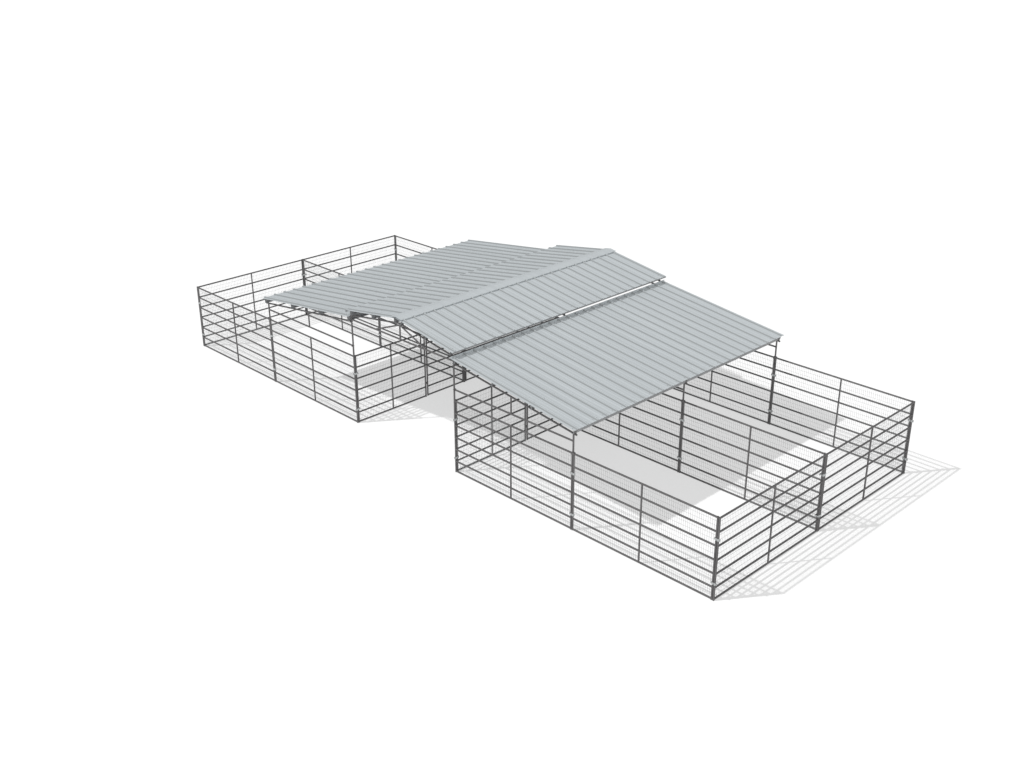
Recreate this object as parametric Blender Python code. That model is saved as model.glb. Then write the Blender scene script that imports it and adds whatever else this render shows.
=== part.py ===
"""Mare motel: two rows of horse stalls with open runs, either side of a roofed aisle.

Metres, +Z up. The origin is on the ground in the middle of the aisle. X runs across the ridge and
Y along it. The right half (+X) is described once. The left half is the same half turned half round,
so its near and far rows swap places.
"""
import math

import bmesh
import bpy
from mathutils import Matrix, Vector

for old_object in list(bpy.data.objects):
    bpy.data.objects.remove(old_object, do_unlink=True)

INCH = 0.0254
FOOT = 12 * INCH

# Layout
AISLE_CLEAR = 12 * FOOT
PANEL_LENGTH = 12 * FOOT
PANEL_HEIGHT = 6 * FOOT
GATE_CLEAR = 4 * FOOT
JOINT_GAP = 0.003
HINGE_GAP = 0.025
LATCH_GAP = 0.010

# Tubes: legs, rails, posts, rafters and chords are of the first size, the rest of the second
TUBE = 1.625 * INCH
LIGHT_TUBE = 1.5 * INCH

# Panels
RAIL_PITCH = 12 * INCH
RAIL_CLEARANCE = 0.005
LEG_RISE = 0.002
GATE_LIFT = 0.012

# Roof frame: the low trusses stand on the panels, and the gable's rafters just clear the low purlins
LOW_RAFTER_RISE = 0.901
LOW_TIE_RISE = 0.261
LOW_PITCH = 0.1275
RAFTER_STUB = 0.090
GABLE_RAFTER_RISE = 0.033
GABLE_CHORD_DROP = 0.110
GABLE_PITCH = 0.155
GABLE_RAFTER_REACH = 0.002

# Purlins
PURLIN_DEPTH = 5 * INCH
PURLIN_FLANGE = 2 * INCH
PURLIN_THICKNESS = 0.0025
PURLIN_SETBACK = 0.045
LOW_PURLINS = 4
LOW_PURLIN_INSET = 0.055
LOW_EAVE_PURLIN_REACH = 0.047
GABLE_PURLINS = 3
GABLE_EAVE_PURLIN_INSET = 0.054
RIDGE_PURLIN_X = 0.105

# Roof sheets
RIB_PITCH = 12 * INCH
RIB_HEIGHT = 1.25 * INCH
RIB_BASE = 0.070
RIB_TOP = 0.025
SHEET_THICKNESS = 0.001
SHEET_EDGE = 0.060
SHEET_CLEARANCE = 0.002
LOW_EAVE_DRIP = 0.036
GABLE_EAVE_DRIP = 0.135
RIDGE_GAP = 0.012
CAP_WING = 0.190

# Panel clamps and post saddles
CLAMP_HEIGHT = 0.050
CLAMP_EAR = 0.0275
CLAMP_THICKNESS = 0.0025
CLAMP_BOLT = 0.010
CLAMP_PAD = 0.012
LOWER_CLAMP_ABOVE_RAIL = 0.091
UPPER_CLAMP_ABOVE_RAIL = 0.1465
SADDLE_PLATE = 0.006
SADDLE_FLANGE = 0.004
SADDLE_DEPTH = 0.060

# Gate hinges
PIN = 0.5 * INCH
PIN_HEIGHT = 0.045
PIN_PLAY = 0.0006
SHANK_WIDTH = 0.014
SHANK_HEIGHT = 0.012
STRAP_THICKNESS = 0.003
STRAP_HEIGHT = 0.038
STRAP_LIFT = 0.001

# Slide bolts
BOLT = 0.012
BOLT_STAND_OFF = 0.006
BOLT_PLAY = 0.0006
BOLT_SETBACK = 0.004
BOLT_TRAVEL = 0.034
BOLT_TAIL = 0.006
GUIDE_WIDTH = 0.020
GUIDE_THICKNESS = 0.003
GUIDE_SPACING = 0.110
HANDLE_WIDTH = 0.008
HANDLE_HEIGHT = 0.040
HANDLE_CLEARANCE = 0.012
KEEPER_LENGTH = 0.036
KEEPER_PLAY = 0.0015
KEEPER_THICKNESS = 0.004

# Gap left between faces that touch
FIT = 0.0003

# Finishes: base colour, metallic share and roughness
TUBE_FINISH = ((0.10, 0.095, 0.097), 0.3, 0.5)
PURLIN_FINISH = ((0.28, 0.29, 0.29), 0.7, 0.45)
SHEET_FINISH = ((0.47, 0.51, 0.53), 0.5, 0.4)
BOLT_FINISH = ((0.40, 0.40, 0.41), 1.0, 0.35)

# Flat sides round each kind of bar. A bar that ends inside another is the slimmer of the two.
LEG_SIDES = 8
RAIL_SIDES = 6
X_AXIS = Vector((1, 0, 0))
Y_AXIS = Vector((0, 1, 0))
Z_AXIS = Vector((0, 0, 1))
LEG_ROLL = Vector((math.sin(math.pi / LEG_SIDES), math.cos(math.pi / LEG_SIDES), 0))

# Lines of the plan
AISLE_X = AISLE_CLEAR / 2 + TUBE / 2
OUTER_X = AISLE_CLEAR / 2 + PANEL_LENGTH + JOINT_GAP / 2
END_X = AISLE_CLEAR / 2 + 2 * PANEL_LENGTH + 2 * JOINT_GAP + TUBE / 2
ROW_Y = JOINT_GAP / 2 + PANEL_LENGTH - TUBE / 2
GATE_WIDTH = GATE_CLEAR + 2 * TUBE
HINGE_Y = TUBE / 2 + LATCH_GAP + GATE_WIDTH + HINGE_GAP / 2
FRONT_START = HINGE_GAP / 2
FRONT_LENGTH = ROW_Y - TUBE / 2 - JOINT_GAP - HINGE_Y - FRONT_START
POST_FACE = AISLE_X + TUBE / 2 * math.cos(math.pi / LEG_SIDES)
LOW_RAFTER_Z = PANEL_HEIGHT + LOW_RAFTER_RISE
LOW_TIE_Z = PANEL_HEIGHT + LOW_TIE_RISE
GABLE_RAFTER_Z = LOW_RAFTER_Z + PURLIN_DEPTH + GABLE_RAFTER_RISE
GABLE_CHORD_Z = GABLE_RAFTER_Z - GABLE_CHORD_DROP
GABLE_EAVE_PURLIN_X = AISLE_X - GABLE_EAVE_PURLIN_INSET
ROOF_HALF_LENGTH = PANEL_LENGTH + RIB_BASE / 2 + SHEET_EDGE
PURLIN_HALF_LENGTH = ROOF_HALF_LENGTH - PURLIN_SETBACK
CLAMP_HALF_WIDTH = TUBE + JOINT_GAP / 2 + CLAMP_EAR
BOLT_OFFSET = TUBE / 2 + BOLT_STAND_OFF + BOLT / 2
LATCH_LEG_X = HINGE_GAP / 2 + GATE_WIDTH - TUBE / 2
INNER_GUIDE_X = LATCH_LEG_X - GUIDE_SPACING


def rail_heights():
    """Heights of the rail centres: down from the top at the pitch, then one near the ground."""
    bottom = RAIL_CLEARANCE + TUBE / 2
    height = PANEL_HEIGHT - LEG_RISE - TUBE / 2
    heights = []
    while height > bottom + RAIL_PITCH / 2:
        heights.insert(0, height)
        height -= RAIL_PITCH
    return [bottom] + heights


RAILS = rail_heights()
GATE_RAILS = [GATE_LIFT + LEG_RISE + TUBE / 2] + RAILS[1:]
CLAMP_LEVELS = (RAILS[1] + LOWER_CLAMP_ABOVE_RAIL, RAILS[-3] + UPPER_CLAMP_ABOVE_RAIL)
LATCH_Z = RAILS[-3]


def bar(bm, start, end, diameter, sides, corner):
    """Adds a straight bar between two points, with one corner of its outline facing a direction."""
    start = Vector(start)
    end = Vector(end)
    along = (end - start).normalized()
    outward = (corner - along * along.dot(corner)).normalized()
    across = outward.cross(along)
    turn = Matrix((across, outward, along)).transposed().to_4x4()
    made = bmesh.ops.create_cone(
        bm, cap_ends=True, segments=sides, radius1=diameter / 2, radius2=diameter / 2,
        depth=(end - start).length, matrix=Matrix.Translation((start + end) / 2) @ turn,
    )
    return made["verts"]


def block(bm, first, second):
    """Adds a block between two opposite corners."""
    low = Vector(map(min, first, second))
    high = Vector(map(max, first, second))
    size = Matrix.Diagonal((*(high - low), 1))
    bmesh.ops.create_cube(bm, size=1, matrix=Matrix.Translation((low + high) / 2) @ size)


def cut(bm, verts, point, outward):
    """Cuts a bar off at a plane and closes its end."""
    edges = {edge for vert in verts for edge in vert.link_edges}
    faces = {face for vert in verts for face in vert.link_faces}
    result = bmesh.ops.bisect_plane(
        bm, geom=[*verts, *edges, *faces], plane_co=point, plane_no=outward, clear_outer=True,
    )
    rim = [item for item in result["geom_cut"] if isinstance(item, bmesh.types.BMEdge)]
    bmesh.ops.edgeloop_fill(bm, edges=rim)


def extrusion(bm, faces, direction):
    """Turns flat faces into a solid by extruding them along a vector."""
    made = bmesh.ops.extrude_face_region(bm, geom=faces)
    moved = [item for item in made["geom"] if isinstance(item, bmesh.types.BMVert)]
    bmesh.ops.translate(bm, verts=moved, vec=direction)


def profile(bm, points, direction):
    """Adds a solid: a closed outline extruded along a vector."""
    outline = bm.faces.new([bm.verts.new(point) for point in points])
    extrusion(bm, [outline], direction)


def metal(name, colour, metallic, roughness):
    """Makes a material with one colour and finish."""
    material = bpy.data.materials.new(name)
    material.use_nodes = True
    shader = material.node_tree.nodes["Principled BSDF"]
    shader.inputs["Base Color"].default_value = (*colour, 1)
    shader.inputs["Metallic"].default_value = metallic
    shader.inputs["Roughness"].default_value = roughness
    material.diffuse_color = (*colour, 1)
    return material


def as_mesh(bm, name):
    """Turns a bmesh into a mesh whose faces point outwards."""
    bmesh.ops.recalc_face_normals(bm, faces=bm.faces[:])
    mesh = bpy.data.meshes.new(name)
    bm.to_mesh(mesh)
    bm.free()
    return mesh


def finished(mesh, material, sharp_angle=65):
    """Shades a mesh and gives it its material."""
    mesh.shade_smooth()
    mesh.set_sharp_from_angle(angle=math.radians(sharp_angle))
    mesh.materials.append(material)
    return mesh


def fused(name, material, *groups):
    """Joins groups of bars into one solid. The bars within a group stay clear of each other."""
    pieces = []
    for group in groups:
        piece = bpy.data.objects.new(name, as_mesh(group, name))
        bpy.context.scene.collection.objects.link(piece)
        pieces.append(piece)
    for piece in pieces[1:]:
        join = pieces[0].modifiers.new("join", "BOOLEAN")
        join.operation = "UNION"
        join.object = piece
    depsgraph = bpy.context.evaluated_depsgraph_get()
    mesh = bpy.data.meshes.new_from_object(pieces[0].evaluated_get(depsgraph))
    for piece in pieces:
        bpy.data.objects.remove(piece, do_unlink=True)
    return finished(mesh, material)


def place(name, mesh, parent=None, location=(0, 0, 0), turn=0, tilt=0):
    """Places a named piece: tilted down towards +X, then turned about the vertical by degrees."""
    piece = bpy.data.objects.new(name, mesh)
    piece.location = location
    piece.rotation_euler = (0, tilt, math.radians(turn))
    piece.parent = parent
    bpy.context.scene.collection.objects.link(piece)


def low_rafter(x):
    """Height of a low rafter's centre line."""
    return LOW_RAFTER_Z - LOW_PITCH * (x - AISLE_X)


def gable_rafter(x):
    """Height of a gable rafter's centre line, right of the ridge."""
    return GABLE_RAFTER_Z + GABLE_PITCH * (AISLE_X - x)


def add_legs(bm, start, length, foot):
    """Adds the two legs of a panel that runs along +X."""
    for x in (start + TUBE / 2, start + length - TUBE / 2):
        bar(bm, (x, 0, foot), (x, 0, PANEL_HEIGHT), TUBE, LEG_SIDES, Y_AXIS)


def add_upright(bm, x):
    """Adds the light upright in the middle of a panel."""
    bar(bm, (x, 0, RAILS[0]), (x, 0, RAILS[-1]), LIGHT_TUBE, RAIL_SIDES, X_AXIS)


def add_rails(bm, start, length, heights):
    """Adds the rails of a panel, each from the middle of one leg to the middle of the other."""
    for height in heights:
        rail_start = (start + TUBE / 2, 0, height)
        rail_end = (start + length - TUBE / 2, 0, height)
        bar(bm, rail_start, rail_end, TUBE, RAIL_SIDES, Z_AXIS)


def add_pair_clamps(plates, pads, end):
    """Adds the clamps that pinch a panel's last leg, which ends at x = end, to its neighbour's leg."""
    centre = end + JOINT_GAP / 2
    leg = end - TUBE / 2
    face = TUBE / 2 + FIT
    for level in CLAMP_LEVELS:
        low = level - CLAMP_HEIGHT / 2
        high = level + CLAMP_HEIGHT / 2
        for side in (-1, 1):
            first = (centre - CLAMP_HALF_WIDTH, side * face, low)
            second = (centre + CLAMP_HALF_WIDTH, side * (face + CLAMP_THICKNESS), high)
            block(plates, first, second)
        pad_half = face + CLAMP_THICKNESS / 2
        first = (leg - CLAMP_PAD / 2, -pad_half, level - CLAMP_PAD)
        second = (leg + CLAMP_PAD / 2, pad_half, level + CLAMP_PAD)
        block(pads, first, second)


def add_end_clamps(plates, pads, end):
    """Adds the clamps that hold a divider's last leg to the legs of both end panels beyond it."""
    inner = end - TUBE - FIT
    outer = end + JOINT_GAP + TUBE + FIT
    bolt_y = TUBE + JOINT_GAP / 2 + CLAMP_EAR / 2
    for level in CLAMP_LEVELS:
        low = level - CLAMP_HEIGHT / 2
        high = level + CLAMP_HEIGHT / 2
        block(plates, (inner - CLAMP_THICKNESS, -CLAMP_HALF_WIDTH, low), (inner, CLAMP_HALF_WIDTH, high))
        block(plates, (outer, -CLAMP_HALF_WIDTH, low), (outer + CLAMP_THICKNESS, CLAMP_HALF_WIDTH, high))
        bolt_start = inner - CLAMP_THICKNESS / 2
        bolt_end = outer + CLAMP_THICKNESS / 2
        for side in (-1, 1):
            y = side * bolt_y
            bar(pads, (bolt_start, y, level), (bolt_end, y, level), CLAMP_BOLT, RAIL_SIDES, Z_AXIS)
        first = (bolt_start, -CLAMP_PAD / 2, level - CLAMP_PAD)
        second = (end - TUBE / 2, CLAMP_PAD / 2, level + CLAMP_PAD)
        block(pads, first, second)


def panel_mesh(material, add_clamps=None):
    """A twelve-foot panel from its end at x = 0, with any clamps at its far end."""
    legs = bmesh.new()
    rails = bmesh.new()
    add_legs(legs, 0, PANEL_LENGTH, 0)
    add_upright(legs, PANEL_LENGTH / 2)
    add_rails(rails, 0, PANEL_LENGTH, RAILS)
    groups = [legs, rails]
    if add_clamps:
        plates = bmesh.new()
        pads = bmesh.new()
        add_clamps(plates, pads, PANEL_LENGTH)
        groups += [plates, pads]
    return fused("panel", material, *groups)


def front_mesh(material):
    """A stall front from the gate's hinge axis along +X, with its hinge pins and corner clamps."""
    legs = bmesh.new()
    rails = bmesh.new()
    shanks = bmesh.new()
    plates = bmesh.new()
    pads = bmesh.new()
    add_legs(legs, FRONT_START, FRONT_LENGTH, 0)
    add_upright(legs, FRONT_START + FRONT_LENGTH / 2)
    add_rails(rails, FRONT_START, FRONT_LENGTH, RAILS)
    for level in CLAMP_LEVELS:
        shank_low = (-SHANK_WIDTH / 2, -SHANK_WIDTH / 2, level - SHANK_HEIGHT)
        shank_high = (FRONT_START + TUBE / 4, SHANK_WIDTH / 2, level)
        block(shanks, shank_low, shank_high)
        pin_foot = (0, 0, level - SHANK_HEIGHT / 2)
        bar(pads, pin_foot, (0, 0, level + PIN_HEIGHT), PIN, LEG_SIDES, Y_AXIS)
    add_pair_clamps(plates, pads, FRONT_START + FRONT_LENGTH)
    return fused("front", material, legs, rails, shanks, plates, pads)


def add_strap(bm, level):
    """Adds a gate's hinge strap, bent round the pin with both ends in the gate's leg."""
    low = level + STRAP_LIFT
    root = HINGE_GAP / 2 + TUBE / 4

    def bend(reach):
        """The strap's line at one distance from the pin's axis: half an eight-sided ring."""
        corner = reach * math.tan(math.pi / 8)
        near = [(root, -reach, low), (-corner, -reach, low), (-reach, -corner, low)]
        return near + [(x, -y, z) for x, y, z in reversed(near)]

    inside = PIN / 2 + PIN_PLAY
    outline = bend(inside) + bend(inside + STRAP_THICKNESS)[::-1]
    profile(bm, outline, Z_AXIS * STRAP_HEIGHT)


def add_guide(bm, x, side):
    """Adds a channel that guides the slide bolt along the gate's face."""
    inside = BOLT / 2 + BOLT_PLAY
    outside = inside + GUIDE_THICKNESS
    root = side * TUBE / 4
    inner = side * (BOLT_OFFSET + inside)
    outer = side * (BOLT_OFFSET + outside)
    start = x - GUIDE_WIDTH / 2
    outline = [
        (start, root, LATCH_Z - outside),
        (start, outer, LATCH_Z - outside),
        (start, outer, LATCH_Z + outside),
        (start, root, LATCH_Z + outside),
        (start, root, LATCH_Z + inside),
        (start, inner, LATCH_Z + inside),
        (start, inner, LATCH_Z - inside),
        (start, root, LATCH_Z - inside),
    ]
    profile(bm, outline, X_AXIS * GUIDE_WIDTH)


def gate_mesh(side, material):
    """A gate from its hinge axis along +X, with the bolt guides on the given side of it."""
    legs = bmesh.new()
    rails = bmesh.new()
    fittings = bmesh.new()
    add_legs(legs, HINGE_GAP / 2, GATE_WIDTH, GATE_LIFT)
    add_rails(rails, HINGE_GAP / 2, GATE_WIDTH, GATE_RAILS)
    for level in CLAMP_LEVELS:
        add_strap(fittings, level)
    add_guide(fittings, LATCH_LEG_X, side)
    add_guide(fittings, INNER_GUIDE_X, side)
    return fused("gate", material, legs, rails, fittings)


def latch_bolt_mesh(side, material):
    """A gate's slide bolt, drawn back: the rod through both guides and its handle."""
    rod = bmesh.new()
    handle = bmesh.new()
    y = side * BOLT_OFFSET
    tip = HINGE_GAP / 2 + GATE_WIDTH - BOLT_SETBACK
    tail = INNER_GUIDE_X - GUIDE_WIDTH / 2 - BOLT_TRAVEL - BOLT_TAIL
    bar(rod, (tail, y, LATCH_Z), (tip, y, LATCH_Z), BOLT, LEG_SIDES, Z_AXIS)
    start = INNER_GUIDE_X + GUIDE_WIDTH / 2 + HANDLE_CLEARANCE
    top = LATCH_Z + BOLT / 2 + HANDLE_HEIGHT
    first = (start, y - HANDLE_WIDTH / 2, LATCH_Z)
    block(handle, first, (start + HANDLE_WIDTH, y + HANDLE_WIDTH / 2, top))
    return fused("latch_bolt", material, rod, handle)


def keeper_mesh(material):
    """The channel on the aisle side of a middle leg that takes the bolts of the gates beside it."""
    bm = bmesh.new()
    inside = BOLT / 2 + KEEPER_PLAY
    outside = inside + KEEPER_THICKNESS
    root = AISLE_X - TUBE / 2 - FIT
    inner = AISLE_X - BOLT_OFFSET - inside
    outer = inner - KEEPER_THICKNESS
    reach = KEEPER_LENGTH / 2
    outline = [
        (root, -reach, LATCH_Z - outside),
        (outer, -reach, LATCH_Z - outside),
        (outer, -reach, LATCH_Z + outside),
        (root, -reach, LATCH_Z + outside),
        (root, -reach, LATCH_Z + inside),
        (inner, -reach, LATCH_Z + inside),
        (inner, -reach, LATCH_Z - inside),
        (root, -reach, LATCH_Z - inside),
    ]
    profile(bm, outline, Y_AXIS * 2 * reach)
    return finished(as_mesh(bm, "latch_keeper"), material)


def low_truss_mesh(material):
    """A low truss and its outer post: rafter, tie, web, and the saddle over the two legs."""
    rafters = bmesh.new()
    posts = bmesh.new()
    saddle = bmesh.new()
    ties = bmesh.new()
    inner = POST_FACE + FIT
    outer = OUTER_X + RAFTER_STUB
    rafter_start = (AISLE_X, 0, low_rafter(AISLE_X))
    rafter = bar(rafters, rafter_start, (outer, 0, low_rafter(outer)), TUBE, LEG_SIDES, Z_AXIS)
    cut(rafters, rafter, (inner, 0, 0), -X_AXIS)
    bar(ties, (inner, 0, LOW_TIE_Z), (OUTER_X, 0, LOW_TIE_Z), TUBE, RAIL_SIDES, Z_AXIS)
    middle = (AISLE_X + OUTER_X) / 2
    web_top = (middle, 0, low_rafter(middle))
    bar(posts, (middle, 0, LOW_TIE_Z), web_top, LIGHT_TUBE, LEG_SIDES, LEG_ROLL)
    ceiling = PANEL_HEIGHT + FIT
    post_top = (OUTER_X, 0, low_rafter(OUTER_X))
    bar(posts, (OUTER_X, 0, ceiling + SADDLE_PLATE / 2), post_top, TUBE, LEG_SIDES, LEG_ROLL)
    inside = TUBE / 2 + FIT
    outside = inside + SADDLE_FLANGE
    top = ceiling + SADDLE_PLATE
    start = OUTER_X - TUBE - JOINT_GAP / 2
    outline = [
        (start, -outside, top - SADDLE_DEPTH),
        (start, -inside, top - SADDLE_DEPTH),
        (start, -inside, ceiling),
        (start, inside, ceiling),
        (start, inside, top - SADDLE_DEPTH),
        (start, outside, top - SADDLE_DEPTH),
        (start, outside, top),
        (start, -outside, top),
    ]
    profile(saddle, outline, X_AXIS * (2 * TUBE + JOINT_GAP))
    return fused("low_truss", material, rafters, posts, saddle, ties)


def gable_truss_mesh(material):
    """A gable truss on its two aisle posts: rafters, chord, king post and two diagonals."""
    right = bmesh.new()
    left = bmesh.new()
    posts = bmesh.new()
    chord = bmesh.new()
    peak = gable_rafter(0)
    reach = AISLE_X + TUBE / 2 + GABLE_RAFTER_REACH
    beyond = reach + TUBE
    for bm, side in ((right, 1), (left, -1)):
        rafter_end = (side * beyond, 0, gable_rafter(beyond))
        rafter = bar(bm, (0, 0, peak), rafter_end, TUBE, LEG_SIDES, Z_AXIS)
        cut(bm, rafter, (side * reach, 0, 0), X_AXIS * side)
        foot = (side * AISLE_X, 0, PANEL_HEIGHT + FIT)
        bar(posts, foot, (side * AISLE_X, 0, gable_rafter(AISLE_X)), TUBE, LEG_SIDES, LEG_ROLL)
    bar(posts, (0, 0, GABLE_CHORD_Z), (0, 0, peak), LIGHT_TUBE, LEG_SIDES, LEG_ROLL)
    chord_end = (AISLE_X, 0, GABLE_CHORD_Z)
    bar(chord, (-AISLE_X, 0, GABLE_CHORD_Z), chord_end, TUBE, RAIL_SIDES, Z_AXIS)
    groups = [right, left, posts, chord]
    for side in (-1, 1):
        diagonal = bmesh.new()
        head = (0, 0, peak - TUBE)
        bar(diagonal, (side * AISLE_X / 2, 0, GABLE_CHORD_Z), head, LIGHT_TUBE, RAIL_SIDES, Z_AXIS)
        groups.append(diagonal)
    return fused("gable_truss", material, *groups)


def purlin_mesh(material):
    """A channel along Y that rests at z = 0, with the outer face of its web at x = 0."""
    bm = bmesh.new()
    start = -PURLIN_HALF_LENGTH
    outline = [
        (-PURLIN_FLANGE, start, 0),
        (0, start, 0),
        (0, start, PURLIN_DEPTH),
        (-PURLIN_FLANGE, start, PURLIN_DEPTH),
        (-PURLIN_FLANGE, start, PURLIN_DEPTH - PURLIN_THICKNESS),
        (-PURLIN_THICKNESS, start, PURLIN_DEPTH - PURLIN_THICKNESS),
        (-PURLIN_THICKNESS, start, PURLIN_THICKNESS),
        (-PURLIN_FLANGE, start, PURLIN_THICKNESS),
    ]
    profile(bm, outline, Y_AXIS * 2 * PURLIN_HALF_LENGTH)
    return finished(as_mesh(bm, "purlin"), material)


def sheet_bed(x, rafter, pitch):
    """Height of the underside of the roof sheets."""
    stack = TUBE / 2 + FIT + PURLIN_DEPTH + FIT
    return rafter(x) + stack * math.hypot(1, pitch)


def ribbed_line():
    """The bent line of the roof sheets along the ridge: distance along it and rise above the flats."""
    count = round(2 * PANEL_LENGTH / RIB_PITCH)
    pitch = 2 * PANEL_LENGTH / count
    line = [(-ROOF_HALF_LENGTH, 0)]
    for index in range(count + 1):
        centre = index * pitch - PANEL_LENGTH
        line += [
            (centre - RIB_BASE / 2, 0),
            (centre - RIB_TOP / 2, RIB_HEIGHT),
            (centre + RIB_TOP / 2, RIB_HEIGHT),
            (centre + RIB_BASE / 2, 0),
        ]
    return line + [(ROOF_HALF_LENGTH, 0)]


def sheets_mesh(name, top_x, eave_x, rafter, pitch, material):
    """The ribbed sheets of one slope, from its top edge to its eave."""
    bm = bmesh.new()
    top = sheet_bed(top_x, rafter, pitch)
    fall = Vector((eave_x - top_x, 0, sheet_bed(eave_x, rafter, pitch) - top))
    verts = [bm.verts.new((top_x, y, top + rise)) for y, rise in ribbed_line()]
    edges = [bm.edges.new(pair) for pair in zip(verts, verts[1:])]
    strip = bmesh.ops.extrude_edge_only(bm, edges=edges)["geom"]
    upper = [item for item in strip if isinstance(item, bmesh.types.BMVert)]
    bmesh.ops.translate(bm, verts=upper, vec=Z_AXIS * SHEET_THICKNESS)
    faces = [item for item in strip if isinstance(item, bmesh.types.BMFace)]
    extrusion(bm, faces, fall)
    return finished(as_mesh(bm, name), material, sharp_angle=30)


def ridge_cap_mesh(material):
    """The bent cap over the ridge, resting on the ribs of both slopes."""
    bm = bmesh.new()
    rest = RIB_HEIGHT + SHEET_THICKNESS + FIT
    ridge = sheet_bed(0, gable_rafter, GABLE_PITCH) + rest
    wing = sheet_bed(CAP_WING, gable_rafter, GABLE_PITCH) + rest
    outline = [
        (-CAP_WING, -ROOF_HALF_LENGTH, wing),
        (0, -ROOF_HALF_LENGTH, ridge),
        (CAP_WING, -ROOF_HALF_LENGTH, wing),
        (CAP_WING, -ROOF_HALF_LENGTH, wing + SHEET_THICKNESS),
        (0, -ROOF_HALF_LENGTH, ridge + SHEET_THICKNESS),
        (-CAP_WING, -ROOF_HALF_LENGTH, wing + SHEET_THICKNESS),
    ]
    profile(bm, outline, Y_AXIS * 2 * ROOF_HALF_LENGTH)
    return finished(as_mesh(bm, "ridge_cap"), material, sharp_angle=30)


def place_panels(side, half, rows, steel):
    """Places the twelve-foot panels of one half: its rows, its dividers and its ends."""
    stall = AISLE_CLEAR / 2
    run = stall + PANEL_LENGTH + JOINT_GAP
    for row, y in rows.items():
        place(f"panel_{side}_{row}_stall", steel["panel"], half, (stall, y, 0))
        run_panel = steel["panel"] if y else steel["divider"]
        place(f"panel_{side}_{row}_run", run_panel, half, (run, y, 0))
        if y:
            start = JOINT_GAP / 2 if y > 0 else -JOINT_GAP / 2 - PANEL_LENGTH
            place(f"end_panel_{side}_{row}", steel["end"], half, (END_X, start, 0), 90)


def place_gates(side, half, rows, steel):
    """Places the stall fronts, gates and slide bolts of one half on their hinge axes."""
    for row, y in rows.items():
        if y == 0:
            continue
        hand = 1 if y > 0 else -1
        axis = (AISLE_X, hand * HINGE_Y, 0)
        place(f"front_panel_{side}_{row}", steel["front"], half, axis, 90 * hand)
        place(f"gate_{side}_{row}", steel["gate", hand], half, axis, -90 * hand)
        place(f"latch_bolt_{side}_{row}", steel["bolt", hand], half, axis, -90 * hand)


def place_purlins(name, purlin, half, places, rafter, pitch):
    """Places the purlins of one slope on their rafters, from the top down."""
    tilt = math.atan(pitch)
    for index, x in enumerate(places, start=1):
        lift = Vector((math.sin(tilt), 0, math.cos(tilt))) * (TUBE / 2 + FIT)
        location = Vector((x, 0, rafter(x))) + lift
        place(f"{name}_{index}", purlin, half, location, tilt=tilt)


def spread(first, last, count):
    """Evenly spaced values from first to last."""
    return [first + (last - first) * index / (count - 1) for index in range(count)]


def build():
    """Makes every mesh once and places the pieces of both halves."""
    tube_steel = metal("tube_steel", *TUBE_FINISH)
    purlin_steel = metal("purlin_steel", *PURLIN_FINISH)
    sheet_steel = metal("sheet_steel", *SHEET_FINISH)
    bolt_steel = metal("bolt_steel", *BOLT_FINISH)
    steel = {
        "panel": panel_mesh(tube_steel, add_pair_clamps),
        "divider": panel_mesh(tube_steel, add_end_clamps),
        "end": panel_mesh(tube_steel),
        "front": front_mesh(tube_steel),
        ("gate", -1): gate_mesh(1, tube_steel),
        ("gate", 1): gate_mesh(-1, tube_steel),
        ("bolt", -1): latch_bolt_mesh(1, bolt_steel),
        ("bolt", 1): latch_bolt_mesh(-1, bolt_steel),
    }
    keeper = keeper_mesh(bolt_steel)
    low_truss = low_truss_mesh(tube_steel)
    gable_truss = gable_truss_mesh(tube_steel)
    purlin = purlin_mesh(purlin_steel)
    low_top = AISLE_X + TUBE / 2 + GABLE_RAFTER_REACH + SHEET_CLEARANCE
    low_eave = OUTER_X + RAFTER_STUB + LOW_EAVE_DRIP
    low_sheets = sheets_mesh("low_roof", low_top, low_eave, low_rafter, LOW_PITCH, sheet_steel)
    gable_eave = GABLE_EAVE_PURLIN_X + GABLE_EAVE_DRIP
    gable_sheets = sheets_mesh(
        "gable_roof", RIDGE_GAP, gable_eave, gable_rafter, GABLE_PITCH, sheet_steel,
    )
    low_purlins = spread(
        AISLE_X + TUBE / 2 + LOW_PURLIN_INSET, OUTER_X + LOW_EAVE_PURLIN_REACH, LOW_PURLINS,
    )
    gable_purlins = spread(RIDGE_PURLIN_X, GABLE_EAVE_PURLIN_X, GABLE_PURLINS)

    for side, turn in (("right", 0), ("left", 180)):
        half = bpy.data.objects.new(f"{side}_half", None)
        half.rotation_euler.z = math.radians(turn)
        bpy.context.scene.collection.objects.link(half)
        near = -ROW_Y if side == "right" else ROW_Y
        rows = {"near": near, "middle": 0, "far": -near}
        place_panels(side, half, rows, steel)
        place_gates(side, half, rows, steel)
        place(f"latch_keeper_{side}", keeper, half)
        for row, y in rows.items():
            place(f"low_truss_{side}_{row}", low_truss, half, (0, y, 0))
        place_purlins(f"low_purlin_{side}", purlin, half, low_purlins, low_rafter, LOW_PITCH)
        place_purlins(f"gable_purlin_{side}", purlin, half, gable_purlins, gable_rafter, GABLE_PITCH)
        place(f"low_roof_sheets_{side}", low_sheets, half)
        place(f"gable_roof_sheets_{side}", gable_sheets, half)

    for row, y in (("near", -ROW_Y), ("middle", 0), ("far", ROW_Y)):
        place(f"gable_truss_{row}", gable_truss, None, (0, y, 0))
    place("ridge_cap", ridge_cap_mesh(sheet_steel))


build()
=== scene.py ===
# %% [markdown]
# # A mare motel, piece by piece
#
# A mare motel is an open horse barn. Pens of welded pipe panels stand in two rows, and a raised
# centre aisle roof with a lower roof on each side shades the stalls while the runs beyond stay open
# to the sky. This lesson takes the plain solids of the frame and puts the real, finished piece in
# each one's place.

# %% Load the frame and keep its box
import math

import bmesh
import bpy
from mathutils import Matrix, Vector


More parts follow.
